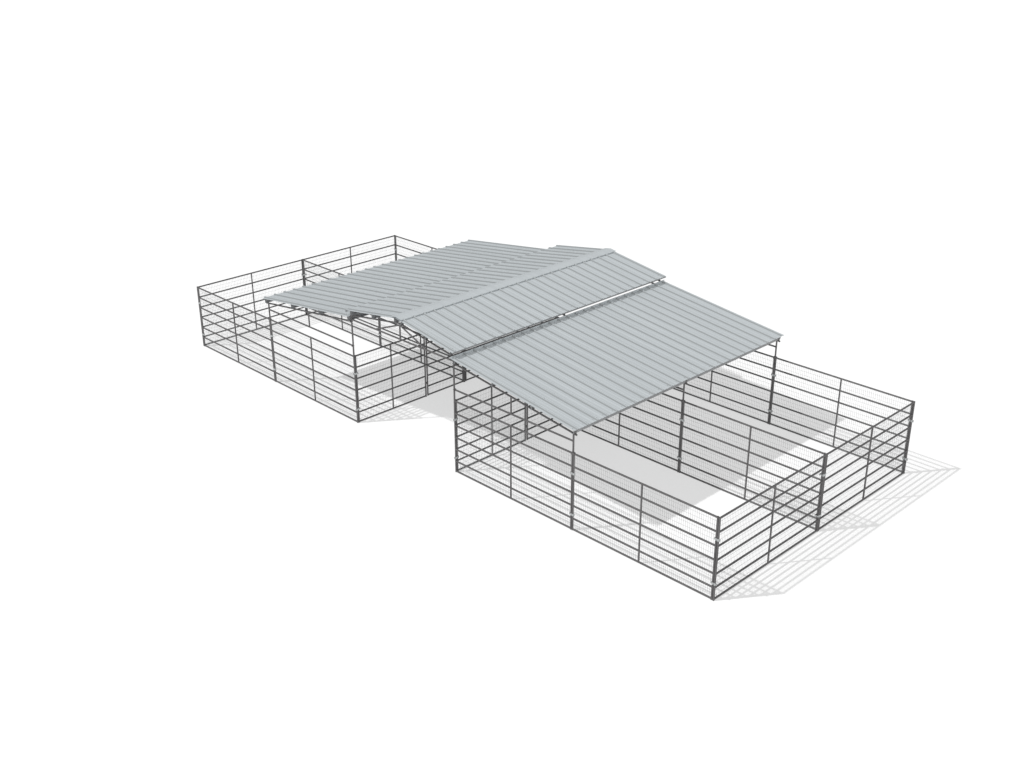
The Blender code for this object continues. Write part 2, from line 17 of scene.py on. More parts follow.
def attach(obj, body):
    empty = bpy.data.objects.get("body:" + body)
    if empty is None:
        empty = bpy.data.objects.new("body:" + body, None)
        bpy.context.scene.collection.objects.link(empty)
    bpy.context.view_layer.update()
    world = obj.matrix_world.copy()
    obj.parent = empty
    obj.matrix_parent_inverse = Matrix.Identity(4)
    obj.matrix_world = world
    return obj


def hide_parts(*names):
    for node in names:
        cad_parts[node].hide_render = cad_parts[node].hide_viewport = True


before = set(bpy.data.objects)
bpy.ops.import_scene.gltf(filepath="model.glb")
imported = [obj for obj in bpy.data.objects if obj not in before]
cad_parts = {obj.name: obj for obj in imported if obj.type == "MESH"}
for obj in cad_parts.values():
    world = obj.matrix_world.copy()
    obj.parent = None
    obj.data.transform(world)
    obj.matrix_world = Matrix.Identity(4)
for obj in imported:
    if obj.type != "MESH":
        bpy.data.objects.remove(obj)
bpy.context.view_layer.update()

# %% [markdown]
# ## The view
#
# The picture looks down on one corner from about thirty metres away, and the camera takes
# the same viewing angle.

# %% Camera
CAMERA_PLACE = Vector((19.91344, -19.54843, 12.81916))
CAMERA_AZIMUTH = math.radians(45.54208)
CAMERA_ELEVATION = math.radians(23.79493)
CAMERA_ROLL = math.radians(-0.14301)
LENS = 41.2402
SENSOR_WIDTH = 36
VIEW_DEPTH = 600


def add_object(name, data):
    """Puts new data into the scene as an object."""
    made = bpy.data.objects.new(name, data)
    bpy.context.scene.collection.objects.link(made)
    return made


camera_data = bpy.data.cameras.new("camera")
camera_data.lens = LENS
camera_data.sensor_width = SENSOR_WIDTH
camera_data.clip_end = VIEW_DEPTH
camera = add_object("camera", camera_data)
camera.matrix_world = (
    Matrix.Translation(CAMERA_PLACE)
    @ Matrix.Rotation(CAMERA_AZIMUTH, 4, "Z")
    @ Matrix.Rotation(math.pi / 2 - CAMERA_ELEVATION, 4, "X")
    @ Matrix.Rotation(CAMERA_ROLL, 4, "Z")
)
bpy.context.scene.camera = camera
print("camera stands", round(CAMERA_PLACE.length, 1), "m from the middle of the aisle")

# %% [markdown]
# ## Light and floor
#
# One main light comes from the left and in front. A very soft fill light near the camera opens up
# the shade below the eaves. The floor is white and gives back light of its own, as a lit studio
# floor does, and a second lamp beside the main one shines on it alone. That lamp sets how clearly
# the rails and the roofs draw their shadows, while the object keeps its own softer light.

# %% Lamps
TO_SUN = Vector((-0.35, -0.50, 0.79))
TO_FILL = Vector((0.65, -0.62, 0.42))
SUN_STRENGTH = 1.7
SUN_WIDTH = math.radians(1.2)
FILL_STRENGTH = 1.8
FILL_WIDTH = math.radians(40)
FLOOR_SUN_STRENGTH = 7.0


def distant_lamp(name, direction, strength, width):
    """Adds a distant lamp that shines from a direction."""
    data = bpy.data.lights.new(name, "SUN")
    data.energy = strength
    data.angle = width
    lamp = add_object(name, data)
    lamp.rotation_euler = direction.to_track_quat("Z", "Y").to_euler()
    return lamp


distant_lamp("sun", TO_SUN, SUN_STRENGTH, SUN_WIDTH)
distant_lamp("fill", TO_FILL, FILL_STRENGTH, FILL_WIDTH)
floor_sun = distant_lamp("floor_sun", TO_SUN, FLOOR_SUN_STRENGTH, SUN_WIDTH)
print("sun", round(math.degrees(math.asin(TO_SUN.normalized().z))), "degrees up")

# %% Sky
SKY_LIGHT = 0.5


def node(tree, kind, sockets=None, **settings):
    """Adds a shader node, links or sets the given sockets and returns it."""
    made = tree.nodes.new(kind)
    for name, value in settings.items():
        setattr(made, name, value)
    for name, value in (sockets or {}).items():
        if isinstance(value, bpy.types.NodeSocket):
            tree.links.new(value, made.inputs[name])
        else:
            made.inputs[name].default_value = value
    return made


world = bpy.data.worlds.new("studio")
world.use_nodes = True
bpy.context.scene.world = world
bpy.context.scene.view_settings.view_transform = "Standard"
sky = world.node_tree.nodes["Background"]
sky.inputs["Color"].default_value = (1, 1, 1, 1)
seen = node(world.node_tree, "ShaderNodeLightPath").outputs["Is Camera Ray"]
range_sockets = {"Value": seen, "To Min": SKY_LIGHT, "To Max": 1.0}
strength = node(world.node_tree, "ShaderNodeMapRange", range_sockets)
world.node_tree.links.new(strength.outputs["Result"], sky.inputs["Strength"])
print("sky lights the object at", SKY_LIGHT, "and looks white")

# %% Floor
FLOOR_GLOW = 0.615
FLOOR_TINT = (0.15, 0.15, 0.15)
FLOOR_SIZE = 400
FLOOR_DROP = 0.001

floor_paint = bpy.data.materials.new("studio_floor")
floor_paint.use_nodes = True
floor_tree = floor_paint.node_tree
floor_tree.nodes.remove(floor_tree.nodes["Principled BSDF"])
matt = node(floor_tree, "ShaderNodeBsdfDiffuse", {"Color": (*FLOOR_TINT, 1)})
glow = node(floor_tree, "ShaderNodeEmission", {"Strength": FLOOR_GLOW})
both = node(floor_tree, "ShaderNodeAddShader")
floor_tree.links.new(matt.outputs["BSDF"], both.inputs[0])
floor_tree.links.new(glow.outputs["Emission"], both.inputs[1])
floor_tree.links.new(both.outputs["Shader"], floor_tree.nodes["Material Output"].inputs["Surface"])
floor_paint.cycles.emission_sampling = "NONE"

floor_bm = bmesh.new()
bmesh.ops.create_grid(floor_bm, x_segments=1, y_segments=1, size=FLOOR_SIZE / 2)
bmesh.ops.translate(floor_bm, verts=floor_bm.verts, vec=(0, 0, -FLOOR_DROP))
floor_mesh = bpy.data.meshes.new("floor")
floor_bm.to_mesh(floor_mesh)
floor_bm.free()
floor_mesh.materials.append(floor_paint)
floor = add_object("floor", floor_mesh)
only_floor = bpy.data.collections.new("only_floor")
only_floor.objects.link(floor)
floor_sun.light_linking.receiver_collection = only_floor
print("floor", FLOOR_SIZE, "m wide")

# %% [markdown]
# ## Finishes
#
# Only metal is seen here, in five finishes. The pipe is coated dark grey with a fine orange-peel
# skin. The sheets and purlins are coated at the mill, before they are rolled to shape. Clamps,
# screws and slide bolts are zinc coated, which freezes in flakes called spangle. All patterns are
# laid out in metres, so they keep their real scale on every piece.

# %% Helpers for finishes
def start_finish(name, metallic, roughness):
    """Starts a material. Returns it, its node tree, its shader and the place on the object."""
    finish = bpy.data.materials.new(name)
    finish.use_nodes = True
    tree = finish.node_tree
    shader = tree.nodes["Principled BSDF"]
    shader.inputs["Metallic"].default_value = metallic
    shader.inputs["Roughness"].default_value = roughness
    return finish, tree, shader, node(tree, "ShaderNodeTexCoord").outputs["Object"]


def noise(tree, place, scale, detail=2.0):
    """A cloudy pattern between 0 and 1 with features about 1 / scale metres across."""
    sockets = {"Vector": place, "Scale": scale, "Detail": detail}
    return node(tree, "ShaderNodeTexNoise", sockets).outputs["Fac"]


def spangle(tree, place, scale):
    """Zinc flakes about 1 / scale metres across, each with its own value between 0 and 1."""
    cells = node(tree, "ShaderNodeTexVoronoi", {"Vector": place, "Scale": scale}).outputs["Color"]
    return node(tree, "ShaderNodeSeparateColor", {"Color": cells}).outputs["Red"]


def stretched(tree, place, scale):
    """The place on the object, scaled by a different amount along each axis."""
    return node(tree, "ShaderNodeMapping", {"Vector": place, "Scale": scale}).outputs["Vector"]


def between(tree, value, low, high, start=0.35, end=0.65):
    """Spreads a pattern's values from start..end to low..high."""
    sockets = {"Value": value, "From Min": start, "From Max": end, "To Min": low, "To Max": high}
    return node(tree, "ShaderNodeMapRange", sockets).outputs["Result"]


def mixed(tree, factor, first, second):
    """A colour that goes from the first to the second with a factor."""
    made = node(tree, "ShaderNodeMix", data_type="RGBA")
    for socket, value in ((0, factor), (6, first), (7, second)):
        if isinstance(value, bpy.types.NodeSocket):
            tree.links.new(value, made.inputs[socket])
        else:
            made.inputs[socket].default_value = (*value, 1)
    return made.outputs[2]


def raised(tree, height, depth):
    """Bends the surface by a pattern that is depth metres high."""
    return node(tree, "ShaderNodeBump", {"Height": height, "Distance": depth}).outputs["Normal"]


def coat(tree, shader, colour, roughness, skin):
    """Links a finish's colour, roughness and bent surface to its shader."""
    for name, value in (("Base Color", colour), ("Roughness", roughness), ("Normal", skin)):
        tree.links.new(value, shader.inputs[name])


print("finish helpers ready")

# %% Coated pipe
PIPE_DARK = (0.066, 0.063, 0.064)
PIPE_LIGHT = (0.088, 0.085, 0.086)


def pipe_finish():
    """Dark grey powder coat: a little uneven in tone, with a fine orange-peel skin."""
    finish, tree, shader, place = start_finish("coated_pipe", 0.0, 0.45)
    tone = between(tree, noise(tree, place, scale=2.3, detail=4.0), 0.0, 1.0)
    coat(
        tree, shader, mixed(tree, tone, PIPE_DARK, PIPE_LIGHT),
        between(tree, noise(tree, place, scale=35.0), 0.40, 0.52),
        raised(tree, noise(tree, place, scale=450.0), 0.00015),
    )
    return finish


coated_pipe = pipe_finish()
print("made", coated_pipe.name)

# %% Zinc coating for clamps, screws and bolts
ZINC_DARK = (0.30, 0.31, 0.31)
ZINC_LIGHT = (0.50, 0.52, 0.52)


def zinc_finish(name, dark, light, flakes, metallic):
    """Hot-dipped zinc: flakes, each with its own tone and gloss, and a slightly rough skin."""
    finish, tree, shader, place = start_finish(name, metallic, 0.42)
    flake = spangle(tree, place, flakes)
    coat(
        tree, shader, mixed(tree, flake, dark, light),
        between(tree, flake, 0.34, 0.52, 0.0, 1.0),
        raised(tree, noise(tree, place, scale=260.0), 0.0002),
    )
    return finish


zinc = zinc_finish("zinc", ZINC_DARK, ZINC_LIGHT, flakes=110.0, metallic=0.6)
print("made", zinc.name)

# %% Wire
WIRE_DARK = (0.20, 0.205, 0.205)
WIRE_LIGHT = (0.30, 0.31, 0.31)
wire_zinc = zinc_finish("wire_zinc", WIRE_DARK, WIRE_LIGHT, flakes=60.0, metallic=0.3)
print("made", wire_zinc.name)

# %% Rolled purlin steel
PURLIN_DARK = (0.200, 0.205, 0.210)
PURLIN_LIGHT = (0.250, 0.255, 0.260)


def purlin_finish():
    """Rolled strip: long faint lines left by the rollers, and a mottled grey tone."""
    finish, tree, shader, place = start_finish("rolled_steel", 0.1, 0.45)
    lines = noise(tree, stretched(tree, place, (60.0, 0.8, 60.0)), scale=1.0, detail=3.0)
    mottle = noise(tree, place, scale=18.0, detail=3.0)
    both = node(tree, "ShaderNodeMath", {0: lines, 1: mottle, 2: 0.25}, operation="MULTIPLY_ADD")
    tone = between(tree, both.outputs["Value"], 0.0, 1.0, 0.35, 0.70)
    coat(
        tree, shader, mixed(tree, tone, PURLIN_DARK, PURLIN_LIGHT),
        between(tree, lines, 0.38, 0.52), raised(tree, lines, 0.0003),
    )
    return finish


rolled_steel = purlin_finish()
print("made", rolled_steel.name)

# %% Roof sheet
SHEET_DARK = (0.425, 0.455, 0.470)
SHEET_LIGHT = (0.465, 0.497, 0.513)
# The colour of the painted shade on the ribs' steep sides.
RIB_SHADE_PAINT = (0.235, 0.250, 0.255)
SHEET_SHEEN = 0.25


def sheet_finish():
    """Coated roof sheet: fine spangle, rain streaks, and painted shade on the ribs' steep sides."""
    finish, tree, shader, place = start_finish("roof_sheet", 0.0, 0.6)
    shader.inputs["Specular IOR Level"].default_value = SHEET_SHEEN
    streaks = noise(tree, stretched(tree, place, (0.35, 9.0, 1.0)), scale=1.0, detail=4.0)
    sockets = {0: spangle(tree, place, 130.0), 1: 0.22, 2: streaks}
    both = node(tree, "ShaderNodeMath", sockets, operation="MULTIPLY_ADD")
    tone = between(tree, both.outputs["Value"], 0.0, 1.0, 0.40, 0.80)
    clean = mixed(tree, tone, SHEET_DARK, SHEET_LIGHT)
    # The steep sides of the ribs are painted darker: this is painted shade, not dust.
    facing = node(tree, "ShaderNodeTexCoord").outputs["Normal"]
    across = node(tree, "ShaderNodeSeparateXYZ", {"Vector": facing}).outputs["Y"]
    steep = node(tree, "ShaderNodeMath", {0: across}, operation="ABSOLUTE").outputs["Value"]
    painted_rib_shade = between(tree, steep, 0.0, 1.0, 0.40, 0.75)
    dents = noise(tree, stretched(tree, place, (0.8, 2.5, 1.0)), scale=1.0, detail=1.0)
    coat(
        tree, shader, mixed(tree, painted_rib_shade, clean, RIB_SHADE_PAINT), between(tree, streaks, 0.55, 0.65),
        raised(tree, dents, 0.004),
    )
    return finish


roof_sheet = sheet_finish()
print("made", roof_sheet.name)

# %% [markdown]
# ## Sizes
#
# Everything here is bought by the inch and the foot. The pens are built from twelve-foot panels of
# 1 5/8 in pipe, six feet high, and the roof sheets cover three feet each, so the plan follows from
# those.

# %% Sizes and the lines of the plan
INCH = 0.0254
FOOT = 12 * INCH
FIT = 0.0003
TUBE = 1.625 * INCH
LIGHT_TUBE = 1.5 * INCH
PANEL_LENGTH = 12 * FOOT
PANEL_HEIGHT = 6 * FOOT
GATE_CLEAR = 4 * FOOT
GATE_WIDTH = GATE_CLEAR + 2 * TUBE
AISLE_HALF = 6 * FOOT
JOINT_GAP = 0.003
HINGE_GAP = 0.025
LATCH_GAP = 0.010
AISLE_X = AISLE_HALF + TUBE / 2
OUTER_X = AISLE_HALF + PANEL_LENGTH + JOINT_GAP / 2
END_X = AISLE_HALF + 2 * PANEL_LENGTH + 2 * JOINT_GAP + TUBE / 2
ROW_Y = JOINT_GAP / 2 + PANEL_LENGTH - TUBE / 2
HINGE_Y = TUBE / 2 + LATCH_GAP + GATE_WIDTH + HINGE_GAP / 2
FRONT_START = HINGE_GAP / 2
FRONT_LENGTH = ROW_Y - TUBE / 2 - JOINT_GAP - HINGE_Y - FRONT_START
LEG_RISE = 0.002
RAIL_CLEARANCE = 0.005
RAIL_TOP = PANEL_HEIGHT - LEG_RISE - TUBE / 2
RAIL_LOW = RAIL_CLEARANCE + TUBE / 2
RAILS = [RAIL_LOW] + [RAIL_TOP - FOOT * step for step in range(5, -1, -1)]
GATE_LIFT = 0.012
GATE_RAILS = [GATE_LIFT + LEG_RISE + TUBE / 2] + RAILS[1:]
LOWER_CLAMP_ABOVE_RAIL = 0.091
UPPER_CLAMP_ABOVE_RAIL = 0.1465
CLAMP_LEVELS = (RAILS[1] + LOWER_CLAMP_ABOVE_RAIL, RAILS[-3] + UPPER_CLAMP_ABOVE_RAIL)
LATCH_Z = RAILS[-3]
HALVES = {"right": Matrix(), "left": Matrix.Rotation(math.pi, 4, "Z")}
print("rails at", [round(height, 3) for height in RAILS])

# %% [markdown]
# ## Shaping helpers
#
# A pipe is a cone with equal ends. A bent bar is a row of rings, bridged. A pressed plate starts as
# a bent line that is swept sideways into a strip and then given its thickness, just as sheet metal
# is bent.

# %% Helpers that shape bars
ROUND = 18
UNMOVED = Matrix()


def shift(x, y, z):
    """The matrix of a plain move."""
    return Matrix.Translation((x, y, z))


def only(items, kind):
    """The items of one kind among all that an operator made."""
    return [item for item in items if isinstance(item, kind)]


def ease(bm, edges, size, steps):
    """Rounds edges off with a small bevel."""
    bmesh.ops.bevel(
        bm, geom=edges, offset=size, offset_type="OFFSET", segments=steps, profile=0.5,
        affect="EDGES", material=-1,
    )


def finish_mesh(bm, name):
    """Turns a bmesh into a mesh whose faces point outwards."""
    bmesh.ops.recalc_face_normals(bm, faces=bm.faces[:])
    mesh = bpy.data.meshes.new(name)
    bm.to_mesh(mesh)
    bm.free()
    return mesh


def aimed(start, end):
    """A matrix that stands at the middle of a line, with Z along it."""
    turn = (end - start).to_track_quat("Z", "Y").to_matrix().to_4x4()
    return Matrix.Translation((start + end) / 2) @ turn


def tube(bm, start, end, diameter, sides=ROUND, edge=0.0):
    """Adds a round bar between two points, with its end edges rounded off when edge is given."""
    start = Vector(start)
    end = Vector(end)
    verts = bmesh.ops.create_cone(
        bm, cap_ends=True, segments=sides, radius1=diameter / 2, radius2=diameter / 2,
        depth=(end - start).length, matrix=aimed(start, end),
    )["verts"]
    if edge:
        caps = {face for vert in verts for face in vert.link_faces if len(face.verts) == sides}
        ease(bm, list({side for face in caps for side in face.edges}), edge, 2)
    return verts


def cut(bm, verts, point, outward):
    """Cuts a bar off at a plane and closes its end."""
    edges = {edge for vert in verts for edge in vert.link_edges}
    faces = {face for vert in verts for face in vert.link_faces}
    result = bmesh.ops.bisect_plane(
        bm, geom=[*verts, *edges, *faces], plane_co=point, plane_no=outward, clear_outer=True,
    )
    bmesh.ops.edgeloop_fill(bm, edges=only(result["geom_cut"], bmesh.types.BMEdge))


def bent_bar(bm, points, radius, sides, closed=False):
    """Adds a round bar along a bent line."""
    count = len(points)
    rings = []
    for index, point in enumerate(points):
        before = points[index - 1] if closed or index else point
        after = points[(index + 1) % count] if closed or index < count - 1 else point
        turn = (after - before).to_track_quat("Z", "Y").to_matrix().to_4x4()
        rings.append(bmesh.ops.create_circle(
            bm, cap_ends=not closed and index in (0, count - 1), segments=sides, radius=radius,
            matrix=Matrix.Translation(point) @ turn,
        )["verts"])
    loops = []
    for ring in rings:
        inside = set(ring)
        around = {
            edge for vert in ring for edge in vert.link_edges if edge.other_vert(vert) in inside
        }
        loops.append(list(around))
    following = loops[1:] + loops[:1] if closed else loops[1:]
    for first, second in zip(loops, following):
        bmesh.ops.bridge_loops(bm, edges=first + second)


print("bars have", ROUND, "sides")

# %% Helpers that shape sheet metal
PLATE_EDGE = 0.0006


def strip(bm, points, direction):
    """Adds a strip: a bent line swept along a vector. Returns its faces."""
    verts = [bm.verts.new(point) for point in points]
    edges = [bm.edges.new(pair) for pair in zip(verts, verts[1:])]
    made = bmesh.ops.extrude_edge_only(bm, edges=edges)["geom"]
    bmesh.ops.translate(bm, verts=only(made, bmesh.types.BMVert), vec=direction)
    return only(made, bmesh.types.BMFace)


def pressed(name, points, direction, thickness, bend=0.0):
    """A pressed plate: a bent line swept along a vector, its bends rounded, then made thick."""
    bm = bmesh.new()
    faces = strip(bm, points, direction)
    if bend:
        ease(bm, [edge for edge in bm.edges if len(edge.link_faces) == 2], bend, 3)
        faces = bm.faces[:]
    bmesh.ops.solidify(bm, geom=faces, thickness=thickness)
    return finish_mesh(bm, name)


def rolled(name, corners, start, end, thickness, bend):
    """A pressed plate from start to end along Y, with its corners given as pairs of x and z."""
    line = [(x, start, z) for x, z in corners]
    return pressed(name, line, (0, end - start, 0), thickness, bend)


def plate(name, outline, direction, edge=PLATE_EDGE):
    """A solid plate: a closed outline swept along a vector, with its edges eased."""
    bm = bmesh.new()
    face = bm.faces.new([bm.verts.new(point) for point in outline])
    made = bmesh.ops.extrude_face_region(bm, geom=[face])["geom"]
    bmesh.ops.translate(bm, verts=only(made, bmesh.types.BMVert), vec=direction)
    bmesh.ops.recalc_face_normals(bm, faces=bm.faces[:])
    ease(bm, bm.edges[:], edge, 1)
    return finish_mesh(bm, name)


def rectangle(x, reach, low, high):
    """The outline of an upright rectangle that faces along X."""
    return [(x, -reach, low), (x, reach, low), (x, reach, high), (x, -reach, high)]


print("plates have edges eased by", 1000 * PLATE_EDGE, "mm")

# %% Helpers that place pieces
made_pieces = []


def moved(mesh, matrix):
    """A copy of a mesh, moved by a matrix."""
    copy = mesh.copy()
    copy.transform(matrix)
    return copy


def stamp(bm, mesh, matrix=UNMOVED):
    """Adds a copy of a mesh to a bmesh, moved by a matrix."""
    copy = moved(mesh, matrix)
    bm.from_mesh(copy)
    bpy.data.meshes.remove(copy)


def spot(half, location=(0, 0, 0), turn=0):
    """The place of a piece in one half, turned by some degrees about the vertical."""
    upright = Matrix.Rotation(math.radians(turn), 4, "Z")
    return HALVES[half] @ Matrix.Translation(location) @ upright


def piece(name, mesh, finish, place=UNMOVED, body="structure", nodes=(), sharp_angle=40):
    """Makes a finished piece, gives it its body and slot, and lets it stand for frame solids."""
    mesh = moved(mesh, place)
    mesh.shade_smooth()
    mesh.set_sharp_from_angle(angle=math.radians(sharp_angle))
    mesh.materials.clear()
    mesh.materials.append(finish)
    made = add_object(name, mesh)
    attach(made, body)
    if nodes:
        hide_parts(*nodes)
    made_pieces.append(made)


# %% [markdown]
# ## Small parts that repeat
#
# Weld beads, bolts and roof screws are made once and stamped wherever they are needed. A bead where
# one pipe meets another of the same size follows a saddle, so it is drawn as that curve.

# %% Weld beads, hex bolts and roof screws
BEAD = 0.0022
BEAD_POINTS = 20
WASHER_SHARE = 0.15
WASHER_EDGE = 0.0003
HEX_CORNERS = 1.155
HEX_EDGE = 0.0006


def saddle_bead(radius, target_radius):
    """A weld bead round a bar along +X, where it meets an upright pipe at the origin."""
    points = []
    for index in range(BEAD_POINTS):
        angle = 2 * math.pi * index / BEAD_POINTS
        y = radius * math.cos(angle)
        z = radius * math.sin(angle)
        points.append(Vector((math.sqrt(max(target_radius ** 2 - y ** 2, 0)) + BEAD / 3, y, z)))
    bm = bmesh.new()
    bent_bar(bm, points, BEAD, sides=5, closed=True)
    return finish_mesh(bm, "bead")


def hex_bolt(width, height, washer_width):
    """A hex head on a washer, standing on z = 0. Its corners reach out past its flat sides."""
    bm = bmesh.new()
    seat = (0, 0, WASHER_SHARE * width)
    top = (0, 0, WASHER_SHARE * width + height)
    tube(bm, (0, 0, 0), seat, washer_width, sides=16, edge=WASHER_EDGE)
    tube(bm, seat, top, width * HEX_CORNERS, sides=6, edge=HEX_EDGE)
    return finish_mesh(bm, "hex_bolt")


rail_bead = saddle_bead(TUBE / 2, TUBE / 2)
stub_bead = saddle_bead(LIGHT_TUBE / 2, TUBE / 2)
clamp_bolt = hex_bolt(width=0.014, height=0.0065, washer_width=0.020)
roof_screw = hex_bolt(width=0.0095, height=0.006, washer_width=0.019)
print("bead faces:", len(rail_bead.polygons), "bolt faces:", len(clamp_bolt.polygons))

# %% [markdown]
# ## Panels
#
# Each panel is welded in a jig: two legs, seven rails a foot apart and short uprights halfway
# along, fitted between the rails. The legs are closed with flat plugs so that rain and wasps stay
# out.

# %% Panel tubes
PLUG_EDGE = 0.002
TURN_LEFT = Matrix.Rotation(math.pi, 4, "Z")
STAND_UP = Matrix.Rotation(-math.pi / 2, 4, "Y")
STAND_DOWN = Matrix.Rotation(math.pi / 2, 4, "Y")


def web(bm, x, low, high):
    """Adds an upright of the lighter tube between two bars, welded at both ends."""
    tube(bm, (x, 0, low), (x, 0, high), LIGHT_TUBE)
    stamp(bm, stub_bead, shift(x, 0, low) @ STAND_UP)
    stamp(bm, stub_bead, shift(x, 0, high) @ STAND_DOWN)


def frame_tubes(start, length, heights, foot, stubs=True):
    """The welded tubes of a panel or gate along +X, as a bmesh."""
    bm = bmesh.new()
    first = start + TUBE / 2
    last = start + length - TUBE / 2
    for x in (first, last):
        tube(bm, (x, 0, foot), (x, 0, PANEL_HEIGHT), TUBE, edge=PLUG_EDGE)
    for height in heights:
        tube(bm, (first, 0, height), (last, 0, height), TUBE)
        stamp(bm, rail_bead, shift(first, 0, height))
        stamp(bm, rail_bead, shift(last, 0, height) @ TURN_LEFT)
    if stubs:
        for low, high in zip(heights, heights[1:]):
            web(bm, start + length / 2, low, high)
    return bm


panel_tubes = finish_mesh(frame_tubes(0, PANEL_LENGTH, RAILS, 0), "panel_tubes")
front_tubes_bm = frame_tubes(FRONT_START, FRONT_LENGTH, RAILS, 0)
print("panel faces:", len(panel_tubes.polygons))

# %% [markdown]
# ## Hinge pins
#
# A stall front carries its gate on two upright pins. Each pin stands on a short shank that is
# welded to the front's first leg, and the gate's straps drop over them.

# %% Stall front with its pins
PIN = 0.5 * INCH
PIN_HEIGHT = 0.045
SHANK_WIDTH = 0.014
SHANK_HEIGHT = 0.012
PIN_EDGE = 0.002
SHANK_EDGE = 0.001

for level in CLAMP_LEVELS:
    reach = SHANK_WIDTH / 2
    root = FRONT_START + TUBE / 4
    corners = ((-reach, -reach), (root, -reach), (root, reach), (-reach, reach))
    outline = [(x, y, level - SHANK_HEIGHT) for x, y in corners]
    stamp(front_tubes_bm, plate("shank", outline, (0, 0, SHANK_HEIGHT), SHANK_EDGE))
    pin_foot = (0, 0, level - SHANK_HEIGHT / 2)
    tube(front_tubes_bm, pin_foot, (0, 0, level + PIN_HEIGHT), PIN, edge=PIN_EDGE)
front_tubes = finish_mesh(front_tubes_bm, "front_tubes")
print("front faces:", len(front_tubes.polygons))

# %% [markdown]
# ## Welded wire
#
# A sheet of welded wire, two inches by four, covers the horse's side of each panel. It is what
# makes the open spaces look faintly hazy from a distance. The upright wires lie against the rails
# and the level wires lie over them, as they come off the welding machine.

# %% Wire sheets
WIRE = 0.004
WIRE_SIDES = 6
WIRE_ACROSS = 2 * INCH
WIRE_UP = 4 * INCH
WIRE_MARGIN = 0.004
WIRE_END = 0.003
WIRE_TAIL = 0.012
CLAMP_HEIGHT = 0.050


def wire_sheet(start, length, heights, side):
    """A sheet of welded wire on one side of a panel that runs along +X."""
    bm = bmesh.new()
    low = heights[0] - WIRE_TAIL
    high = heights[-1] + WIRE_TAIL
    near = start + TUBE + WIRE_MARGIN
    far = start + length - TUBE - WIRE_MARGIN
    count = round((far - near) / WIRE_ACROSS)
    upright_y = side * (TUBE / 2 + WIRE / 2)
    level_y = side * (TUBE / 2 + 1.5 * WIRE)
    for index in range(count + 1):
        x = near + (far - near) * index / count
        tube(bm, (x, upright_y, low), (x, upright_y, high), WIRE, sides=WIRE_SIDES)
    height = heights[-1]
    levels = [heights[0]]
    while height > heights[0] + WIRE_UP / 2:
        levels.append(height)
        height -= WIRE_UP
    for height in levels:
        ends = [(x, level_y, height) for x in (near - WIRE_END, far + WIRE_END)]
        tube(bm, *ends, WIRE, sides=WIRE_SIDES)
    return finish_mesh(bm, "wire_sheet")


panel_wire = {side: wire_sheet(0, PANEL_LENGTH, RAILS, side) for side in (-1, 1)}
front_wire = {side: wire_sheet(FRONT_START, FRONT_LENGTH, RAILS, side) for side in (-1, 1)}
print("wire faces:", len(panel_wire[1].polygons))

# %% [markdown]
# ## Clamps
#
# Two pressed halves hug a pair of legs, and a bolt through each ear pulls them together. The panels
# can be taken apart again with one spanner, which is why such pens are sold by the panel. Where a
# divider meets two end panels, long bolts pull a flat bar behind it against one pressed half.

# %% Clamp halves and clamp sets
CLAMP_THICKNESS = 0.0025
CLAMP_EAR = 0.0275
CLAMP_HALF_WIDTH = TUBE + JOINT_GAP / 2 + CLAMP_EAR
CLAMP_BOLT = 0.010
EAR_GAP = 0.0015
EAR_FACE = EAR_GAP + CLAMP_THICKNESS
EAR_BOLT = CLAMP_HALF_WIDTH - CLAMP_EAR / 2
ARC_STEPS = 10
FACE_PLUS_Y = Matrix.Rotation(-math.pi / 2, 4, "X")
FACE_MINUS_Y = Matrix.Rotation(math.pi / 2, 4, "X")
FACE_PLUS_X = Matrix.Rotation(math.pi / 2, 4, "Y")
FACE_MINUS_X = Matrix.Rotation(-math.pi / 2, 4, "Y")


def clamp_half():
    """One pressed half, hugging two legs along X from the +Y side."""
    leg = (TUBE + JOINT_GAP) / 2
    radius = TUBE / 2 + FIT + CLAMP_THICKNESS
    start = math.pi - math.asin(EAR_FACE / radius)
    end = math.acos(leg / radius)
    low = -CLAMP_HEIGHT / 2
    left = [(-CLAMP_HALF_WIDTH, EAR_FACE, low)]
    for step in range(ARC_STEPS + 1):
        angle = start + (end - start) * step / ARC_STEPS
        left.append((radius * math.cos(angle) - leg, radius * math.sin(angle), low))
    right = [(-x, y, z) for x, y, z in reversed(left[:-1])]
    return pressed("clamp_half", left + right, (0, 0, CLAMP_HEIGHT), CLAMP_THICKNESS)


half_plate = clamp_half()


def pair_clamps(end):
    """The clamps round a panel's last leg, which ends at x = end, and its neighbour's leg."""
    bm = bmesh.new()
    for level in CLAMP_LEVELS:
        middle = shift(end + JOINT_GAP / 2, 0, level)
        stamp(bm, half_plate, middle)
        stamp(bm, half_plate, middle @ TURN_LEFT)
        for x in (-EAR_BOLT, EAR_BOLT):
            stamp(bm, clamp_bolt, middle @ shift(x, EAR_FACE, 0) @ FACE_PLUS_Y)
            stamp(bm, clamp_bolt, middle @ shift(x, -EAR_FACE, 0) @ FACE_MINUS_Y)
    return finish_mesh(bm, "pair_clamps")


